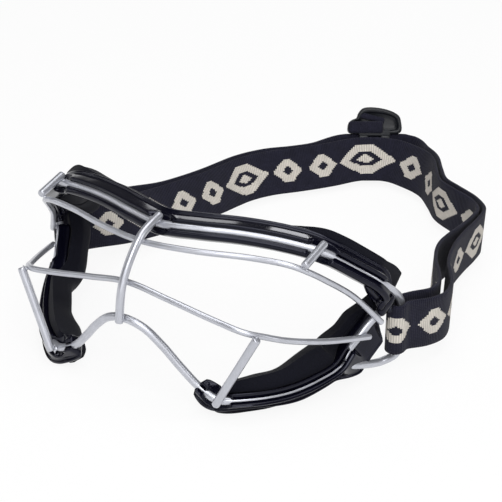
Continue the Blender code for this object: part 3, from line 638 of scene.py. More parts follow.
def strap_weave(name, sizes, patterned):
    """Ribbed elastic weave with painted shade between its ribs; the patterned face carries rows of stepped
    lozenges.
    """
    ground, motif, repeat = sizes.ground, sizes.motif, sizes.repeat
    made, tree, shader = finish(name, Sheen_Weight=0.06, Sheen_Roughness=0.5, Specular_IOR_Level=0.12)
    split = add(tree, "ShaderNodeSeparateXYZ", {0: coordinates(tree, "UV")})
    along, across = split.outputs[0], split.outputs[1]
    ribs = maths(tree, "SINE", maths(tree, "MULTIPLY", along, 2 * math.pi / RIB))
    picks = maths(tree, "SINE", maths(tree, "MULTIPLY", across, 2 * math.pi / PICK))
    weave = maths(tree, "ADD", ribs, maths(tree, "MULTIPLY", picks, 0.6))
    wear = grain(tree, coordinates(tree), 260.0, 4.0, 0.6)
    dark = toned(tree, wear, ground, 0.75, 1.3, 0.72)
    # Painted shade: the ground darkens to 0.7 of its colour in the weave's valleys, where the bump sinks.
    colour = join_colour(tree, spread(tree, weave, 0.3, 0.9, -1.6, 0.2), scaled(ground, 0.7), dark)
    if patterned:
        middle = maths(tree, "SUBTRACT", stepped(tree, across, PICK), sizes.width / 2)
        unit = maths(tree, "MODULO", stepped(tree, along, RIB), repeat)
        mask = None
        for offset, layers in MOTIF:
            centre = repeat * 0.5 + offset * MM
            for sign, long, tall, clip in layers:
                layer = lozenge(tree, unit, middle, centre, long * MM, tall * MM, clip * MM)
                mask = layer if mask is None else maths(tree, sign, mask, layer)
        mask = maths(tree, "MINIMUM", maths(tree, "MAXIMUM", mask, 0.0), 1.0)
        yarn = toned(tree, wear, motif, 0.86, 1.06)
        # Painted shade: the motif yarn darkens to 0.62 of its colour between the ribs and stays light on
        # their crowns.
        rib_shaded_motif = join_colour(tree, spread(tree, ribs, 0.0, 1.0, -0.95, -0.2), scaled(motif, 0.62), yarn)
        colour = join_colour(tree, mask, colour, rib_shaded_motif)
        weave = maths(tree, "ADD", weave, maths(tree, "MULTIPLY", mask, 1.4))
    surface(tree, shader, colour, spread(tree, wear, 0.74, 0.92), weave, 0.55, 0.16 * MM)
    return made


def satin_plastic(colour):
    """Moulded satin plastic with a fine spark texture and duller patches."""
    made, tree, shader = finish("satin_black_plastic", Specular_IOR_Level=0.3)
    place = coordinates(tree)
    patch = grain(tree, place, 160.0, 4.0, 0.6)
    surface(tree, shader, toned(tree, patch, colour, 0.8, 1.3), spread(tree, patch, 0.3, 0.46),
            grain(tree, place, 1800.0, 2.0), 0.2, 0.06 * MM)
    return made


# Pieces

SIDES = 18
# A cut wire end, rounded over: how far back and how wide, as shares of the wire's radius
END_ROUNDING = [(0.42, 1.0), (0.2, 0.94), (0.06, 0.84), (0.0, 0.66)]
# A weld bead's reach along a wire at its waist, what it gains on that wire and loses on the other
BEAD_WAIST = 0.95 * MM
BEAD_FLARE = 0.75 * MM
BEAD_LOSS = 0.25 * MM
BEAD_CURVE = 1.6
BEAD_HALF = 0.24
BEAD_LEVELS = 8
BEAD_SIDES = 20
# A rounded block: corners of a ring, and how far each ring of an end is drawn in, as shares of the rounding
PILLOW_SIDES = 24
PILLOW_INSETS = [1, 0.5, 0.13, 0]


def wire_rings(points, diameter, cyclic=False):
    """Rings of a round wire, its cut ends rounded over."""
    radius = diameter / 2
    places = section_frames(points, cyclic)
    circle = [(math.cos(2 * math.pi * i / SIDES) * radius, math.sin(2 * math.pi * i / SIDES) * radius)
              for i in range(SIDES)]
    rings = [set_out(place, circle) for place in places]
    if cyclic:
        return rings
    ends = points[0], points[-1]
    rings = [ring for ring, point in zip(rings, points)
             if min((point - end).length for end in ends) > radius / 2]
    for end, step in ((0, 1), (-1, -1)):
        point, outward, front = places[end]
        along = (points[end] - points[end + step]).normalized()
        lip = [set_out((point - along * radius * back, outward, front), [(o * s, f * s) for o, f in circle])
               for back, s in END_ROUNDING]
        rings = lip[::-1] + rings if end == 0 else rings + lip
    return rings


def filled(points, step):
    """A straight-sided route cut into short steps."""
    made = []
    for a, b in zip(points, points[1:]):
        count = max(1, round((b - a).length / step))
        made += [a.lerp(b, i / count) for i in range(count)]
    return made + [points[-1]]


def weld_bead(seat, seat_along, point, along):
    """Rings of a saddle of weld metal that runs out along both wires."""
    normal = (point - seat).normalized()
    ways = [(way - normal * way.dot(normal)).normalized() for way in (seat_along, along)]
    turns = [2 * math.pi * k / BEAD_SIDES for k in range(BEAD_SIDES)]
    rings = []
    for i in range(BEAD_LEVELS + 1):
        t = 2 * i / BEAD_LEVELS - 1
        reaches = [BEAD_WAIST + BEAD_FLARE * max(0.0, side) ** BEAD_CURVE - BEAD_LOSS * max(0.0, -side)
                   for side in (-t, t)]
        first, second = (way * reach for way, reach in zip(ways, reaches))
        centre = seat + (point - seat) * (0.5 + BEAD_HALF * t)
        rings.append([centre + first * math.cos(a) + second * math.sin(a) for a in turns])
    return rings


def brow_path(post):
    """Middle line of the brow moulding, from one post to the other."""
    seat, _ = crossing(post, 2, BROW_END_HEIGHT)
    brow = mm(BROW_ROUTE)
    bend = brow[-1].lerp(seat, BROW_BEND_AT) + Vector((BROW_BEND, 0, BROW_BEND))
    tab, _ = crossing(post, 2, BROW_TAB_HEIGHT)
    return smooth(both_sides(brow + [bend, seat, tab]), MOULD_STEP)


def cheek_path(post, height):
    """Middle line of a cheek moulding or pad, from a height on the post and along the cheek to the nose."""
    top, _ = crossing(post, 2, height)
    on_post = [p for p in mm(POST_ROUTE) if p.z < height - POST_CLEAR]
    cheek = mm(CHEEK_ROUTE[1:] + ARCH_ROUTE[:2])
    turn = on_post[-1].lerp(cheek[0], CHEEK_BEND_AT) + Vector((CHEEK_BEND, CHEEK_BEND, 0))
    path = smooth([top] + on_post + [turn] + cheek, MOULD_STEP)
    return [p for p in path if p.z > 0 or p.x > NOSE_END]


def moulding_section(rim, outer, inner, wire, side):
    """Moulding section: rim bead, sloped face, two lips and the groove for the wire between them."""
    groove = wire / 2 + GROOVE_FIT
    edge = -MOULD_BACK + RIM_EDGE
    bead = min(1.0, (rim - TEMPLE_RIM) / (3 * MM))
    points = [(rim - 0.5 * MM, -MOULD_BACK), (rim - 0.12 * MM, -MOULD_BACK + 0.12 * MM),
              (rim, -MOULD_BACK + 0.5 * MM), (rim, edge - 0.2 * MM),
              (rim - 0.2 * bead * MM, edge + 0.1 * MM), (rim - 0.55 * bead * MM, edge + 0.22 * MM),
              (rim - 0.95 * bead * MM, edge + 0.12 * MM), (rim - 1.2 * bead * MM, edge + 0.02 * MM)]
    start = rim - 1.5 * bead * MM
    for i in range(6):
        share = i / 5.4
        face = mix(edge + 0.1 * MM, outer - 0.12 * MM, share)
        points.append((mix(start, LIP_WIDTH, share), face + FACE_BULGE * share * (1 - share)))
    points += [(LIP_WIDTH - 0.12 * MM, outer), (LIP_WIDTH - 0.3 * MM, outer + 0.04 * MM),
               (groove + 0.1 * MM, outer - 0.12 * MM)]
    first = math.asin((outer - LIP_DROP) / groove)
    last = math.asin((inner - LIP_DROP) / groove)
    turns = 12
    for i in range(turns + 1):
        angle = first + (-math.pi - last - first) * i / turns
        points.append((groove * math.cos(angle), groove * math.sin(angle)))
    reach = mix(LIP_WIDTH, side, 0.5)
    points += [(-groove - 0.08 * MM, inner - 0.12 * MM), (-groove - 0.28 * MM, inner + 0.05 * MM),
               (-LIP_WIDTH, inner), (-reach, inner - 0.42 * MM),
               (-mix(LIP_WIDTH, side, 0.88), inner - 0.95 * MM), (-side, inner - 1.7 * MM),
               (-side, -MOULD_BACK + 1.1 * MM), (-side + 0.25 * MM, -MOULD_BACK + 0.3 * MM),
               (-side + 0.9 * MM, -MOULD_BACK)]
    return points


def nose_tab(profile, off, wire):
    """A profile off the nose end, narrowed outside the groove so that the moulding ends in a round tab."""
    share = min(1.0, off / NOSE_ROUND)
    width = mix(NOSE_LEAST, 1.0, math.sqrt(1 - (1 - share) ** 2))
    keep = wire / 2 + 2 * GROOVE_FIT
    return [(o if abs(o) < keep else math.copysign(mix(keep, abs(o), width), o), f) for o, f in profile]


def corner_web(path):
    """Rings of the web that fills the corner between the brow and the post on +x."""
    places = [p for p in section_frames(path) if p[0].x > 0 and p[0].y > WEB_STARTS]
    start, end = (set_out(place, [(-o, -1.5 * MM)])[0]
                  for place, o in ((places[0], 3.4 * MM), (places[-1], 3.6 * MM)))
    rings = []
    for i, place in enumerate(places):
        share = i / (len(places) - 1)
        root = set_out(place, [(-1.2 * MM, -1.4 * MM)])[0]
        edge = start.lerp(end, share)
        away = (edge - root).normalized()
        edge = edge + away * WEB_BULGE * share * (1 - share)
        front = place[2]
        rings.append([root + front * 1.0 * MM, root.lerp(edge, 0.5) + front * 1.1 * MM,
                      edge - away * 0.7 * MM + front * 0.9 * MM, edge + front * 0.1 * MM,
                      edge - away * 0.3 * MM - front * 0.9 * MM, root.lerp(edge, 0.5) - front * 1.4 * MM,
                      root - front * 1.4 * MM])
    return rings


def drawn(profile, share):
    """A profile drawn in about its own middle."""
    o_mid = sum(o for o, _ in profile) / len(profile)
    f_mid = sum(f for _, f in profile) / len(profile)
    return [(mix(o_mid, o, share), mix(f_mid, f, share)) for o, f in profile]


def swept(path, profile_at, reach, least):
    """Rings of a section that changes along a path and is drawn in over reach at its rounded ends."""
    rings = []
    for i, place in enumerate(section_frames(path)):
        left = len(path) - 1 - i
        near_end = min(1.0, min(i, left) * MOULD_STEP / reach)
        share = mix(least, 1.0, math.sqrt(1 - (1 - near_end) ** 2))
        rings.append(set_out(place, drawn(profile_at(place[0], left * MOULD_STEP), share)))
    return rings


def nose_share(point):
    """1 at a cheek moulding's nose end, 0 away from it."""
    return 1 - blend(point.x, FLANGE_WIDE, FLANGE_GONE) if point.z < 0 else 0.0


def scoop(rings, seat, path):
    """Press a pocket with a raised rim into a moulding around the end of a strut."""
    index = min(range(len(path)), key=lambda i: (path[i] - seat).length)
    _, outward, front = section_frames(path)[index]
    along = outward.cross(front)
    deep = POCKET_HALF / 2
    centre = seat + front * (deep - POCKET_DEPTH) + outward * LIP_WIDTH / 2
    for ring in rings:
        for k, point in enumerate(ring):
            off = point - centre
            wide = off.dot(outward) / (POCKET_HALF * POCKET_STRETCH)
            e = (off.dot(along) / POCKET_HALF) ** 2 + wide ** 2
            if e > POCKET_REACH:
                continue
            floor = -deep * math.sqrt(max(0.0, 1 - e)) if e < 1 else (e - 1) * deep
            depth = off.dot(front) - floor
            rim = POCKET_LIP * math.exp(-(depth / POCKET_LIP_WIDTH) ** 2)
            ring[k] = point + front * (rim - max(0.0, depth))


def foam_section(out, inward, thick, crown, wall, wrap):
    """Foam pad section: flat behind the moulding, up its inner wall by wrap, and a crowned rear face."""
    front = -MOULD_BACK - FOAM_GAP
    rear = front - thick
    middle = (front + rear) / 2
    top = front + wrap
    corner = min(FOAM_ROUND, thick / 3)
    bulge = corner / 4
    wall = min(wall + FOAM_GAP, inward - 1.2 * MM)
    return [(out - 0.5 * MM, front), (out, front - 0.5 * MM), (out + bulge, middle),
            (out - bulge, rear + corner), (out - corner, rear),
            ((out - inward) / 2, rear - crown), (-inward + corner, rear),
            (-inward, rear + corner), (-inward - bulge, (top + rear) / 2),
            (-inward, top - 0.6 * MM), (-inward + 0.5 * MM, top), (-wall - 0.3 * MM, top),
            (-wall, mix(top, front, 0.25)), (-wall, mix(top, front, 0.8)), (-wall + 0.5 * MM, front)]


def pillow(low, high, radius):
    """Rings along x of a block with rounded edges."""
    middle = [(a + b) / 2 for a, b in zip(low, high)]
    half = [(b - a) / 2 for a, b in zip(low, high)]
    rings = []
    for x, inset in [(-1, i) for i in PILLOW_INSETS] + [(1, i) for i in reversed(PILLOW_INSETS)]:
        back = radius * (1 - math.sqrt(1 - (1 - inset) ** 2)) if inset else radius
        ring = []
        for k in range(PILLOW_SIDES):
            angle = 2 * math.pi * (k + 0.5) / PILLOW_SIDES
            turn = Vector((math.cos(angle), math.sin(angle)))
            corner = [math.copysign(half[i + 1] - radius, turn[i]) for i in (0, 1)]
            reach = turn * (radius * (1 - inset))
            ring.append(Vector((middle[0] + x * (half[0] - back), middle[1] + corner[0] + reach.x,
                                middle[2] + corner[1] + reach.y)))
        rings.append(ring)
    return rings


def slider_place(width, thick):
    """The slider's own frame: along the band, through it and up its width."""
    turn = Euler((-BACK_LEAN, 0, SLIDER_TURN)).to_matrix().to_4x4()
    foot = Vector((*SLIDER_CENTRE, 0)) * MM
    foot.z = BACK_LIFT + thick / 2 * math.sin(BACK_LEAN)
    return table_place() @ Matrix.Translation(foot) @ turn @ Matrix.Translation((0, 0, width / 2))


def rounded(profile, each=4):
    """A closed profile rounded through its corners, with an equal count between them."""
    count = len(profile)
    made = []
    for i in range(count):
        a, b, c, d = (Vector(profile[(i + k) % count]) for k in (-1, 0, 1, 2))
        for k in range(each):
            t = k / each
            made.append(tuple(0.5 * (2 * b + (c - a) * t + (2 * a - 5 * b + 4 * c - d) * t * t
                                     + (3 * b - a - 3 * c + d) * t ** 3)))
    return made


def soften(mesh, amount, scale):
    """Small uneven swells along the normals, always the same."""
    shifts = [v.normal * (noise.noise(v.co * scale) * amount) for v in mesh.vertices]
    for vertex, shift in zip(mesh.vertices, shifts):
        vertex.co += shift


def fold(side, bar, wire, thick):
    """Plan of the strap round a temple loop, from its outer run to its inner run."""
    ahead = Vector((-side * math.sin(FOLD_TURN), -math.cos(FOLD_TURN), 0))
    out = Vector((side * math.cos(FOLD_TURN), -math.sin(FOLD_TURN), 0))
    radius = wire / 2 + STRAP_PLAY + thick / 2
    post = Vector((side * bar.x, bar.y, 0))
    centre = post + ahead * (FOLD_REACH - radius)
    arc = [centre + (out * math.cos(a) + ahead * math.sin(a)) * radius
           for a in (math.pi * i / 6 for i in range(7))]
    return [post + out * radius] + arc + [post - out * radius]


def strap_plan(bar, wire, thick):
    """Closed plan line of the band, with the slider's straight stretch last."""
    centre = Vector((*SLIDER_CENTRE, 0)) * MM
    along = Vector((math.cos(SLIDER_TURN), math.sin(SLIDER_TURN), 0))
    reach = SLIDER_GRIP / 2 + SLIDER_TRAVEL + BAND_STEP / 5
    straight = [centre + along * reach, centre - along * reach]
    flat = [[Vector((x, y, 0)) * MM for x, y in run] for run in (OUTER_LEFT, INNER_RUN, OUTER_RIGHT)]
    turns = [fold(-1, bar, wire, thick), fold(1, bar, wire, thick)[::-1]]
    points = straight[1:] + flat[0] + turns[0] + flat[1] + turns[1] + flat[2] + straight[:1]
    lead = [straight[1] + along * BAND_STEP]
    follow = [straight[0] - along * BAND_STEP]
    path = smooth(lead + points + follow, STRAP_STEP)
    first = min(range(len(path)), key=lambda i: (path[i] - straight[1]).length)
    last = min(range(len(path)), key=lambda i: (path[i] - straight[0]).length)
    return path[first:last] + filled(straight, STRAP_STEP)[:-1]


def strap_rows(path, bar, width, thick):
    """Lower edge, width direction and face direction of the band along its plan line."""
    rows = []
    for point, along in zip(path, directions(path, cyclic=True)):
        out = Vector((along.y, -along.x, 0))
        out = out if out.dot(point - Vector((0, LEAN_FULL, 0))) > 0 else -out
        lean = mix(BACK_LEAN, RIGHT_LEAN, blend(point.x, LEAN_EASES, LEAN_EASED))
        lean *= blend(point.y, LEAN_STARTS, LEAN_FULL)
        share = min(1.0, max(0.0, (DROP_ENDS - point.y) / (DROP_ENDS - bar.y)))
        base = BACK_LIFT + thick / 2 * math.sin(lean)
        base += (bar.z - width / 2 - BACK_LIFT) * share ** 2
        low = point + Vector((0, 0, base))
        rise = out * math.sin(lean) + Vector((0, 0, math.cos(lean)))
        rows.append((low, rise, along.cross(rise).normalized()))
    return rows


# Sizes and colours that a user would change

class EyeGuardCage(bpy.types.PropertyGroup):
    """Wire sizes and paint."""
    wire: FloatProperty(name="Frame wire", description="Diameter of the perimeter wire, posts and struts",
                        default=3.3 * MM, min=2 * MM, max=5 * MM, precision=4, unit="LENGTH")
    bar: FloatProperty(name="Bar wire", description="Diameter of the two bars across the eyes",
                       default=2.4 * MM, min=1.5 * MM, max=4 * MM, precision=4, unit="LENGTH")
    paint: FloatVectorProperty(name="Paint", description="Colour of the wire's paint", size=3,
                               default=shade(186, 188, 196), min=0, max=1, subtype="COLOR")


class EyeGuardPadding(bpy.types.PropertyGroup):
    """Colours of the mouldings and foam."""
    gloss: FloatVectorProperty(name="Moulding", description="Colour of the glossy mouldings", size=3,
                               default=shade(16, 16, 26), min=0, max=1, subtype="COLOR")
    foam: FloatVectorProperty(name="Foam", description="Colour of the foam pads", size=3,
                              default=shade(20, 21, 32), min=0, max=1, subtype="COLOR")
    crown: FloatProperty(name="Foam crown", description="How far the foam's face stands up in the middle",
                         default=0.5 * MM, min=0, max=2 * MM, precision=4, unit="LENGTH")


class EyeGuardStrap(bpy.types.PropertyGroup):
    """Strap size, weave and motif."""
    width: FloatProperty(name="Strap width", description="Width of the elastic band",
                         default=22 * MM, min=15 * MM, max=30 * MM, precision=4, unit="LENGTH")
    thick: FloatProperty(name="Strap thickness", description="Thickness of the elastic band",
                         default=1.6 * MM, min=1 * MM, max=2.5 * MM, precision=4, unit="LENGTH")
    repeat: FloatProperty(name="Motif repeat", description="Length of one repeat of the woven motif",
                          default=64 * MM, min=30 * MM, max=120 * MM, precision=4, unit="LENGTH")
    ground: FloatVectorProperty(name="Ground", description="Colour of the strap's ground weave", size=3,
                                default=shade(36, 36, 48), min=0, max=1, subtype="COLOR")
    motif: FloatVectorProperty(name="Motif", description="Colour of the woven motif", size=3,
                               default=shade(212, 206, 197), min=0, max=1, subtype="COLOR")
    plastic: FloatVectorProperty(name="Slider", description="Colour of the slider", size=3,
                                 default=shade(26, 28, 33), min=0, max=1, subtype="COLOR")


# Operators

class EYEGUARD_OT_cage(bpy.types.Operator):
    """Make the perimeter wire, bars, struts, posts and their welds"""
    bl_idname = "eye_guard.cage"
    bl_label = "Wire cage"

    def execute(self, context):
        sizes = context.scene.eye_guard_cage
        cage = Cage(sizes)
        paint = silver_paint(sizes.paint)
        place = cage_place()
        self.wire("perimeter_wire", cage.ring, sizes.wire, paint, place, cyclic=True)
        self.wire("upper_bar", cage.upper, sizes.bar, paint, place)
        self.wire("middle_bar", cage.middle, sizes.bar, paint, place)
        self.wire("nose_strut", cage.nose, sizes.wire, paint, place)
        for side, turn in (("left", list), ("right", mirrored)):
            self.wire(f"temple_post_{side}", turn(cage.post), sizes.wire, paint, place)
            self.wire(f"top_strut_{side}", turn(filled(cage.top, WIRE_STEP)), sizes.wire, paint, place)
            self.wire(f"lower_strut_{side}", turn(filled(cage.low, WIRE_STEP)), sizes.wire, paint, place)
        mesh = skin("weld_beads", *(weld_bead(*weld) for weld in cage.welds))
        dress("weld_beads", mesh, paint, "frame", place=place)
        return {"FINISHED"}

    def wire(self, node, points, diameter, paint, place, cyclic=False):
        mesh = skin(node, wire_rings(points, diameter, cyclic), cyclic=cyclic)
        dress(f"{node}_round", mesh, paint, "frame", (node,), place)


class EYEGUARD_OT_mouldings(bpy.types.Operator):
    """Make the brow moulding and the two cheek mouldings that grip the wire"""
    bl_idname = "eye_guard.mouldings"
    bl_label = "Glossy mouldings"

    def execute(self, context):
        cage = Cage(context.scene.eye_guard_cage)
        gloss = gloss_moulding(context.scene.eye_guard_padding.gloss)
        place = cage_place()
        rings, *corners = self.brow_rings(cage)
        far_corners = [[mirrored(ring) for ring in run] for run in corners]
        mesh = skin("brow_moulding", rings, *corners, *far_corners)
        dress("brow_moulding_gloss", mesh, gloss, "frame", ("brow_moulding",), place)
        for side, turn, splay in (("left", list, LEFT_SPLAY), ("right", mirrored, RIGHT_SPLAY)):
            mesh = skin(f"cheek_moulding_{side}", [turn(ring) for ring in self.cheek_rings(cage, splay)])
            flatten(mesh, place)
            dress(f"cheek_moulding_{side}_gloss", mesh, gloss, "frame",
                  (f"cheek_moulding_{side}",), place)
        return {"FINISHED"}

    def brow_rings(self, cage):
        """Rings of the brow, of the web in its +x corner and of the sleeve on that post."""
        path = brow_path(cage.post)

        def profile(point, _):
            rim = mix(BROW_RIM, BROW_SIDE_RIM, blend(abs(point.x), RIM_DROPS, RIM_DROPPED))
            rim = mix(rim, TEMPLE_RIM, blend(point.y, TAPER_STARTS, TAPER_ENDS))
            lip = mix(BROW_LIP, COVER_LIP, blend(abs(point.x), COVER_STARTS, COVER_FULL))
            leaving = blend(point.y, TAPER_STARTS - LIP_FADES, TAPER_STARTS + LIP_FADES)
            on_post = 1 - blend(point.z, BROW_END_HEIGHT, BROW_END_HEIGHT + POST_COVER)
            outer = mix(mix(lip, WINDOW_LIP, leaving), COVER_LIP, on_post)
            return moulding_section(rim, outer, lip, cage.wire, MOULD_INNER)

        rings = swept(path, profile, *BROW_END)
        seat = cage.brow_seat[0]
        for middle in (cage.half[0], seat, mirrored([seat])[0]):
            scoop(rings, middle, path)
        sleeve = wire_rings([p for p in cage.post if p.z > SLEEVE_HEIGHT], cage.wire + 2 * SLEEVE)
        return rings, corner_web(path), sleeve

    def cheek_rings(self, cage, splay):
        """Rings of the cheek moulding on +x, its rim turned out by splay."""
        path = cheek_path(cage.post, CHEEK_TOP_HEIGHT)

        def profile(point, off):
            window = blend(point.z, WINDOW_BOTTOM - WINDOW_EDGE, WINDOW_BOTTOM)
            rim = mix(CHEEK_RIM, SIDE_RIM, blend(point.z, SIDE_STARTS, SIDE_FULL))
            rim = mix(rim, NOSE_RIM, nose_share(point)) + splay * blend(point.x, SPLAY_STARTS, SPLAY_FULL)
            wing = mix(WING_RIM, TEMPLE_RIM, blend(point.z, WING_HIGH, WING_ENDS))
            rim = mix(rim, wing, blend(point.z, WING_STARTS, WING_LOW))
            outer, inner = (mix(COVER_LIP, lip, window) for lip in (WINDOW_LIP, WINDOW_INNER_LIP))
            side = mix(CHEEK_INNER, NOSE_INNER, nose_share(point))
            return nose_tab(moulding_section(rim, outer, inner, cage.wire, side), off, cage.wire)

        rings = swept(path, profile, *CHEEK_END)
        for ring, place in zip(rings, section_frames(path)):
            self.crease(ring, *place)
        scoop(rings, cage.cheek_seat[0], path)
        return rings

    def crease(self, ring, point, outward, front):
        """Wrinkle the moulding's inner flange where it closes over the foam's nose end."""
        for k, corner in enumerate(ring):
            inward = -(corner - point).dot(outward)
            share = nose_share(point) * blend(inward, LIP_WIDTH - 0.4 * MM, LIP_WIDTH + 1.5 * MM)
            ring[k] = corner + front * noise.noise(corner * CREASES_PER_METRE) * CREASE * share


class EYEGUARD_OT_foam(bpy.types.Operator):
    """Make the brow pad and the two cheek pads behind the mouldings"""
    bl_idname = "eye_guard.foam"
    bl_label = "Foam pads"

    def execute(self, context):
        padding = context.scene.eye_guard_padding
        cage = Cage(context.scene.eye_guard_cage)
        nap = foam_skin(padding.foam)
        place = cage_place()
        self.pad("brow_foam", self.brow_rings(padding.crown), nap, place)
        for side, turn, widen in (("left", list, LEFT_FOAM_SPREAD), ("right", mirrored, RIGHT_FOAM_SPREAD)):
            rings = self.cheek_rings(cage, padding.crown, widen)
            self.pad(f"cheek_foam_{side}", [turn(ring) for ring in rings], nap, place)
        return {"FINISHED"}

    def pad(self, node, rings, nap, place):
        mesh = skin(node, rings)
        soften(mesh, FOAM_SWELL, SWELLS_PER_METRE)
        flatten(mesh, place)
        made = dress(f"{node}_soft", mesh, nap, "frame", (node,), place)

    def brow_rings(self, crown):
        """Rings of the brow pad, which runs on a little way round both temple loops."""
        loop = mm(LOOP_ROUTE[:2])
        tip = loop[1] + (loop[1] - loop[0]) * 0.5
        path = smooth(both_sides(mm(BROW_ROUTE) + loop + [tip]), MOULD_STEP)

        def profile(point, _):
            out = mix(FOAM_BROW_OUT, FOAM_END_OUT, blend(abs(point.x), FOAM_WIDENS, FOAM_WIDE))
            out = mix(out, FOAM_TIP_OUT, blend(point.y, TAPER_STARTS, TAPER_ENDS))
            return rounded(foam_section(out, FOAM_BROW_IN, FOAM_THICK, crown, 0.0, 0.0))

        return swept(path, profile, *BROW_FOAM_END)

    def cheek_rings(self, cage, crown, widen):
        """Rings of the cheek pad on +x, widened towards the opening."""
        path = [p for p in cheek_path(cage.post, FOAM_TOP_HEIGHT) if p.z > 0 or p.x > FOAM_NOSE_END]

        def profile(point, _):
            out = mix(FOAM_WING_OUT, FOAM_TEMPLE_OUT, blend(point.z, WING_HIGH, WING_ENDS))
            out = mix(FOAM_CHEEK_OUT, out, blend(point.z, WING_STARTS, WING_LOW))
            inward = mix(FOAM_NOSE_IN, FOAM_CHEEK_IN, blend(point.x, NOSE_END, 2 * NOSE_END))
            inward = mix(inward, FOAM_TEMPLE_IN, blend(point.z, FOAM_NARROWS, 0))
            steps = sum(share * blend(point.z, low, high) for share, low, high in SPREAD_STEPS)
            inward += widen * (SPREAD_AT_NOSE + steps)
            thick = mix(FOAM_REST_THICK, FOAM_CHEEK_THICK, blend(point.z, FOAM_THINS, FOAM_THIN))
            thick = mix(thick, FOAM_TEMPLE_THICK, blend(point.z, FOAM_THICKENS, 0))
            wrap = FOAM_WRAP * (1 - blend(point.z, FOAM_WRAP_LOW, FOAM_WRAP_HIGH))
            wrap *= blend(point.x, FLANGE_WIDE, FLANGE_GONE)
            return rounded(foam_section(out, inward, thick, crown, CHEEK_INNER, wrap))

        return swept(path, profile, *CHEEK_FOAM_END)


class EYEGUARD_OT_strap(bpy.types.Operator):
    """Make the doubled elastic band with its woven motif"""
    bl_idname = "eye_guard.strap"
    bl_label = "Elastic strap"

    def execute(self, context):
        sizes = context.scene.eye_guard_strap
        wire = context.scene.eye_guard_cage.wire
        bar = loop_bar()
        path = strap_plan(bar, wire, sizes.thick)
        mesh, length = self.band(strap_rows(path, bar, sizes.width, sizes.thick), sizes.width, sizes.thick)
        made = dress("elastic_strap_woven", mesh, strap_weave("strap_motif_face", sizes, True),
                     "strap", ("elastic_strap",), table_place())
        made.data.materials.append(strap_weave("strap_plain_face", sizes, False))
        return {"FINISHED"}

    def band(self, rows, width, thick):
        """Closed ribbon with rounded selvedges, measured along and across in its map."""
        half = thick / 2
        thin = half * SELVEDGE_THICK
        flat = [width * mix(SELVEDGE_SHARE, 1 - SELVEDGE_SHARE, i / BAND_SIDES)
                for i in range(BAND_SIDES + 1)]
        section = [(w, half) for w in flat]
        section += [(width - SELVEDGE, thin), (width, 0.0), (width - SELVEDGE, -thin)]
        section += [(w, -half) for w in reversed(flat)]
        section += [(SELVEDGE, -thin), (0.0, 0.0), (SELVEDGE, thin)]
        rings = []
        at = [0.0]
        for i, (low, rise, out) in enumerate(rows):
            sway = noise.noise(low * SWAYS_PER_METRE) * BAND_SWAY
            rings.append([low + rise * (across + sway) + out * off for across, off in section])
            at.append(at[-1] + (rows[(i + 1) % len(rows)][0] - low).length)
        mesh = skin("elastic_strap", rings, cyclic=True)
        chart = mesh.uv_layers.new(name="weave").data
        for face in mesh.polygons:
            row, side = divmod(face.index, len(section))
            face.material_index = 1 if BAND_SIDES < side < 2 * BAND_SIDES + 4 else 0
            for loop in face.loop_indices:
                ring, spot = divmod(mesh.loops[loop].vertex_index, len(section))
                chart[loop].uv = (at[row + (ring != row)], section[spot][0])
        return mesh, at[-1]


class EYEGUARD_OT_slider(bpy.types.Operator):
    """Make the strap slider and the fold of band that it holds"""
    bl_idname = "eye_guard.slider"
    bl_label = "Strap slider"

    def execute(self, context):
        sizes = context.scene.eye_guard_strap
        place = slider_place(sizes.width, sizes.thick)
        near = sizes.thick / 2 + SLIDER_FIT
        far = near + SLIDER_BAR
        edge = sizes.width / 2 + SLIDER_FIT
        grip = SLIDER_GRIP / 2
        runs = [self.crest(edge, far),
                pillow((-grip, -far, -edge - SLIDER_FOOT), (grip, far, -edge), SLIDER_ROUND)]
        for side in (-1, 1):
            low, high = sorted((side * near, side * far))
            runs.append(pillow((-grip, low, edge - SLIDER_SKIRT), (grip, high, edge + CREST_ROOT),
                               SLIDER_ROUND))
        for x, side in ((PRONG_INSET - grip, -1), (grip - PRONG_INSET, -1), (0, 1)):
            low, high = sorted((side * near, side * (far - PRONG_SUNK)))
            runs.append(pillow((x - PRONG_HALF, low, -edge - PRONG_ROOT), (x + PRONG_HALF, high, edge),
                               SLIDER_ROUND))
        mesh = skin("strap_slider", *runs)
        dress("strap_slider_moulded", mesh, satin_plastic(sizes.plastic), "slider",
              ("strap_slider",), place)
        self.folds(sizes, edge, far, place)
        return {"FINISHED"}

    def crest(self, edge, far):
        """Loops of the crest: rounded edge, raised rim and sunk face on the side towards the head."""
        half = SLIDER_LENGTH / 2
        corners = [Vector((half * x, 0, SLIDER_CREST * z)) for x, z in CREST_OUTLINE]
        outline = smooth(corners, CREST_STEP, cyclic=True)
        middle = sum(outline, Vector()) / len(outline)
        loops = []
        for inset, y in CREST_SECTION:
            wide = 1 - inset * MM / half
            tall = 1 - inset * MM / (SLIDER_CREST / 2)
            loops.append([Vector((middle.x + (p.x - middle.x) * wide, far - y * MM,
                                  edge + middle.z + (p.z - middle.z) * tall)) for p in outline])
        return loops

    def folds(self, sizes, edge, far, place):
        """The band's end, folded round the slider's bars."""
        weave = strap_weave("strap_fold_weave", sizes, False)
        lower = pillow((-13.3 * MM, -far - 0.9 * MM, edge - 0.4 * MM),
                       (4.4 * MM, -0.2 * MM, edge + 5.9 * MM), 1.3 * MM)
        upper = pillow((-8.2 * MM, -far + 0.3 * MM, edge + 6.1 * MM),
                       (5.2 * MM, -0.2 * MM, edge + 9.2 * MM), 1.1 * MM)
        tilt = Matrix.Rotation(FOLD_TILT, 3, "Y")
        pivot = Vector((-1.5 * MM, 0, edge + 7.4 * MM))
        upper = [[tilt @ (point - pivot) + pivot for point in ring] for ring in upper]
        mesh = skin("strap_fold", lower, upper)
        chart = mesh.uv_layers.new(name="weave").data
        for loop in mesh.loops:
            spot = mesh.vertices[loop.vertex_index].co
            chart[loop.index].uv = (spot.x, spot.z)
        made = dress("strap_fold_woven", mesh, weave, "slider", place=place)


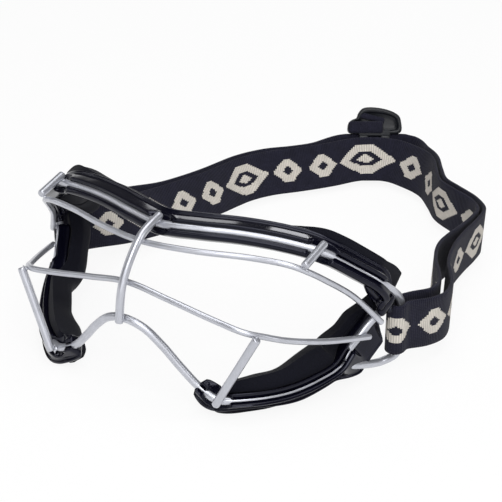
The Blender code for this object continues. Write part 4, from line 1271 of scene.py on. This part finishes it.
# Surround: light on the object, the ceiling's brightness over a white backdrop, and where that fades
AMBIENT = 0.2
CEILING = 0.1
BACKDROP_FADES = (0.06, 0.2)
FLOOR_GLOW = 0.9
FLOOR_HALF = 4.0
FLOOR_DROP = 0.2 * MM
# Camera as the photograph has it: place in metres, turn in degrees, lens and sensor in millimetres
CAMERA_PLACE = (0.26622, -0.4871, 0.3049)
CAMERA_TURN = (62.03, 0, 30.3)
CAMERA_LENS = 100.4
CAMERA_SENSOR = 36.0
CAMERA_NEAR = 10.0 * MM
# Soft lights: what they point at, then place in metres, width and height, power in watts
LIGHT_AIM = Vector((0, -0.05, 0.04))
LIGHTS = [("key_softbox", (0.3, -0.5, 0.8), (0.5, 0.5), 3.8),
          ("front_panel", (0.62, -1.05, 0.62), (1.6, 1.1), 7.5),
          ("top_softbox", (0.0, 0.1, 1.0), (0.7, 0.7), 4.0),
          ("back_strip_left", (-0.412, 0.65, 0.348), (0.09, 0.15), 0.12),
          ("back_strip_right", (-0.235, 0.65, 0.367), (0.085, 0.16), 0.24),
          ("left_strip", (-0.8, -0.3, 0.5), (0.1, 0.5), 0.5),
          ("right_strip", (0.9, 0.1, 0.5), (0.1, 0.5), 1.2)]


class EYEGUARD_OT_stage(bpy.types.Operator):
    """Lay the pale floor, hang the soft lights and set the camera"""
    bl_idname = "eye_guard.stage"
    bl_label = "Stage"

    def execute(self, context):
        scene = context.scene
        scene.view_settings.view_transform = "Standard"
        self.floor()
        self.surround(scene)
        for name, place, size, power in LIGHTS:
            self.light(name, Vector(place), size, power)
        eye = bpy.data.cameras.new("photo_camera")
        eye.sensor_width = CAMERA_SENSOR
        eye.sensor_fit = "HORIZONTAL"
        eye.lens = CAMERA_LENS
        eye.clip_start = CAMERA_NEAR
        camera = bpy.data.objects.new("photo_camera", eye)
        camera.location = CAMERA_PLACE
        camera.rotation_euler = [math.radians(turn) for turn in CAMERA_TURN]
        scene.collection.objects.link(camera)
        scene.camera = camera
        return {"FINISHED"}

    def background_share(self, tree):
        """1 for what the camera, metal and glass see, 0 for light on the object."""
        rays = add(tree, "ShaderNodeLightPath")
        seen = maths(tree, "MAXIMUM", rays.outputs["Is Camera Ray"], rays.outputs["Is Glossy Ray"])
        return maths(tree, "MAXIMUM", seen, rays.outputs["Is Transmission Ray"])

    def floor(self):
        mesh = bpy.data.meshes.new("floor")
        bm = bmesh.new()
        bmesh.ops.create_grid(bm, x_segments=8, y_segments=8, size=FLOOR_HALF)
        bm.to_mesh(mesh)
        bm.free()
        paper, tree, shader = finish("white_paper", Roughness=0.9)
        tone = toned(tree, grain(tree, coordinates(tree), 400.0), (1, 1, 1), 0.86, 0.9, 0.7)
        tree.links.new(tone, shader.inputs["Base Color"])
        glow = add(tree, "ShaderNodeEmission", {"Color": (1, 1, 1, 1), "Strength": 1.0})
        share = maths(tree, "MULTIPLY", self.background_share(tree), FLOOR_GLOW)
        both = add(tree, "ShaderNodeMixShader", {0: share, 1: shader.outputs[0], 2: glow.outputs[0]})
        tree.links.new(both.outputs[0], tree.nodes["Material Output"].inputs["Surface"])
        made = bpy.data.objects.new("floor", mesh)
        made.location = (0, 0, -FLOOR_DROP)
        mesh.materials.append(paper)
        bpy.context.scene.collection.objects.link(made)

    def surround(self, scene):
        world = bpy.data.worlds.new("studio")
        world.use_nodes = True
        scene.world = world
        tree = world.node_tree
        air = tree.nodes["Background"]
        air.inputs["Color"].default_value = (1, 1, 1, 1)
        split = add(tree, "ShaderNodeSeparateXYZ", {0: coordinates(tree, "Generated")})
        backdrop = spread(tree, split.outputs[2], 1.0, CEILING, *BACKDROP_FADES)
        above = maths(tree, "SUBTRACT", backdrop, AMBIENT)
        seen = maths(tree, "MULTIPLY", self.background_share(tree), above)
        tree.links.new(maths(tree, "ADD", seen, AMBIENT), air.inputs["Strength"])

    def light(self, name, place, size, power):
        data = bpy.data.lights.new(name, "AREA")
        data.shape = "RECTANGLE"
        data.size, data.size_y = size
        data.energy = power
        made = bpy.data.objects.new(name, data)
        made.location = place
        made.rotation_euler = (place - LIGHT_AIM).to_track_quat("Z", "Y").to_euler()
        bpy.context.scene.collection.objects.link(made)


# Panel and registration

class EYEGUARD_PT_panel(bpy.types.Panel):
    """Sizes, colours and steps of the eye guard"""
    bl_idname = "EYEGUARD_PT_panel"
    bl_label = "Eye guard"
    bl_space_type = "VIEW_3D"
    bl_region_type = "UI"
    bl_category = "Eye guard"

    def draw(self, context):
        column = self.layout.column()
        for group in GROUPS:
            values = getattr(context.scene, group)
            for key in values.bl_rna.properties.keys():
                if key not in ("rna_type", "name"):
                    column.prop(values, key)
        for operator in OPERATORS:
            column.operator(operator.bl_idname)


GROUPS = {
    "eye_guard_cage": EyeGuardCage,
    "eye_guard_padding": EyeGuardPadding,
    "eye_guard_strap": EyeGuardStrap,
}
OPERATORS = (EYEGUARD_OT_cage, EYEGUARD_OT_mouldings, EYEGUARD_OT_foam, EYEGUARD_OT_strap,
             EYEGUARD_OT_slider, EYEGUARD_OT_stage)


def register():
    for kind in (*GROUPS.values(), *OPERATORS, EYEGUARD_PT_panel):
        bpy.utils.register_class(kind)
    for name, kind in GROUPS.items():
        setattr(bpy.types.Scene, name, PointerProperty(type=kind))


def unregister():
    for name in GROUPS:
        delattr(bpy.types.Scene, name)
    for kind in (EYEGUARD_PT_panel, *reversed(OPERATORS), *GROUPS.values()):
        bpy.utils.unregister_class(kind)


def main():
    register()
    bpy.ops.eye_guard.cage()
    bpy.ops.eye_guard.mouldings()
    bpy.ops.eye_guard.foam()
    bpy.ops.eye_guard.strap()
    bpy.ops.eye_guard.slider()
    bpy.ops.eye_guard.stage()


if __name__ == "__main__":
    main()
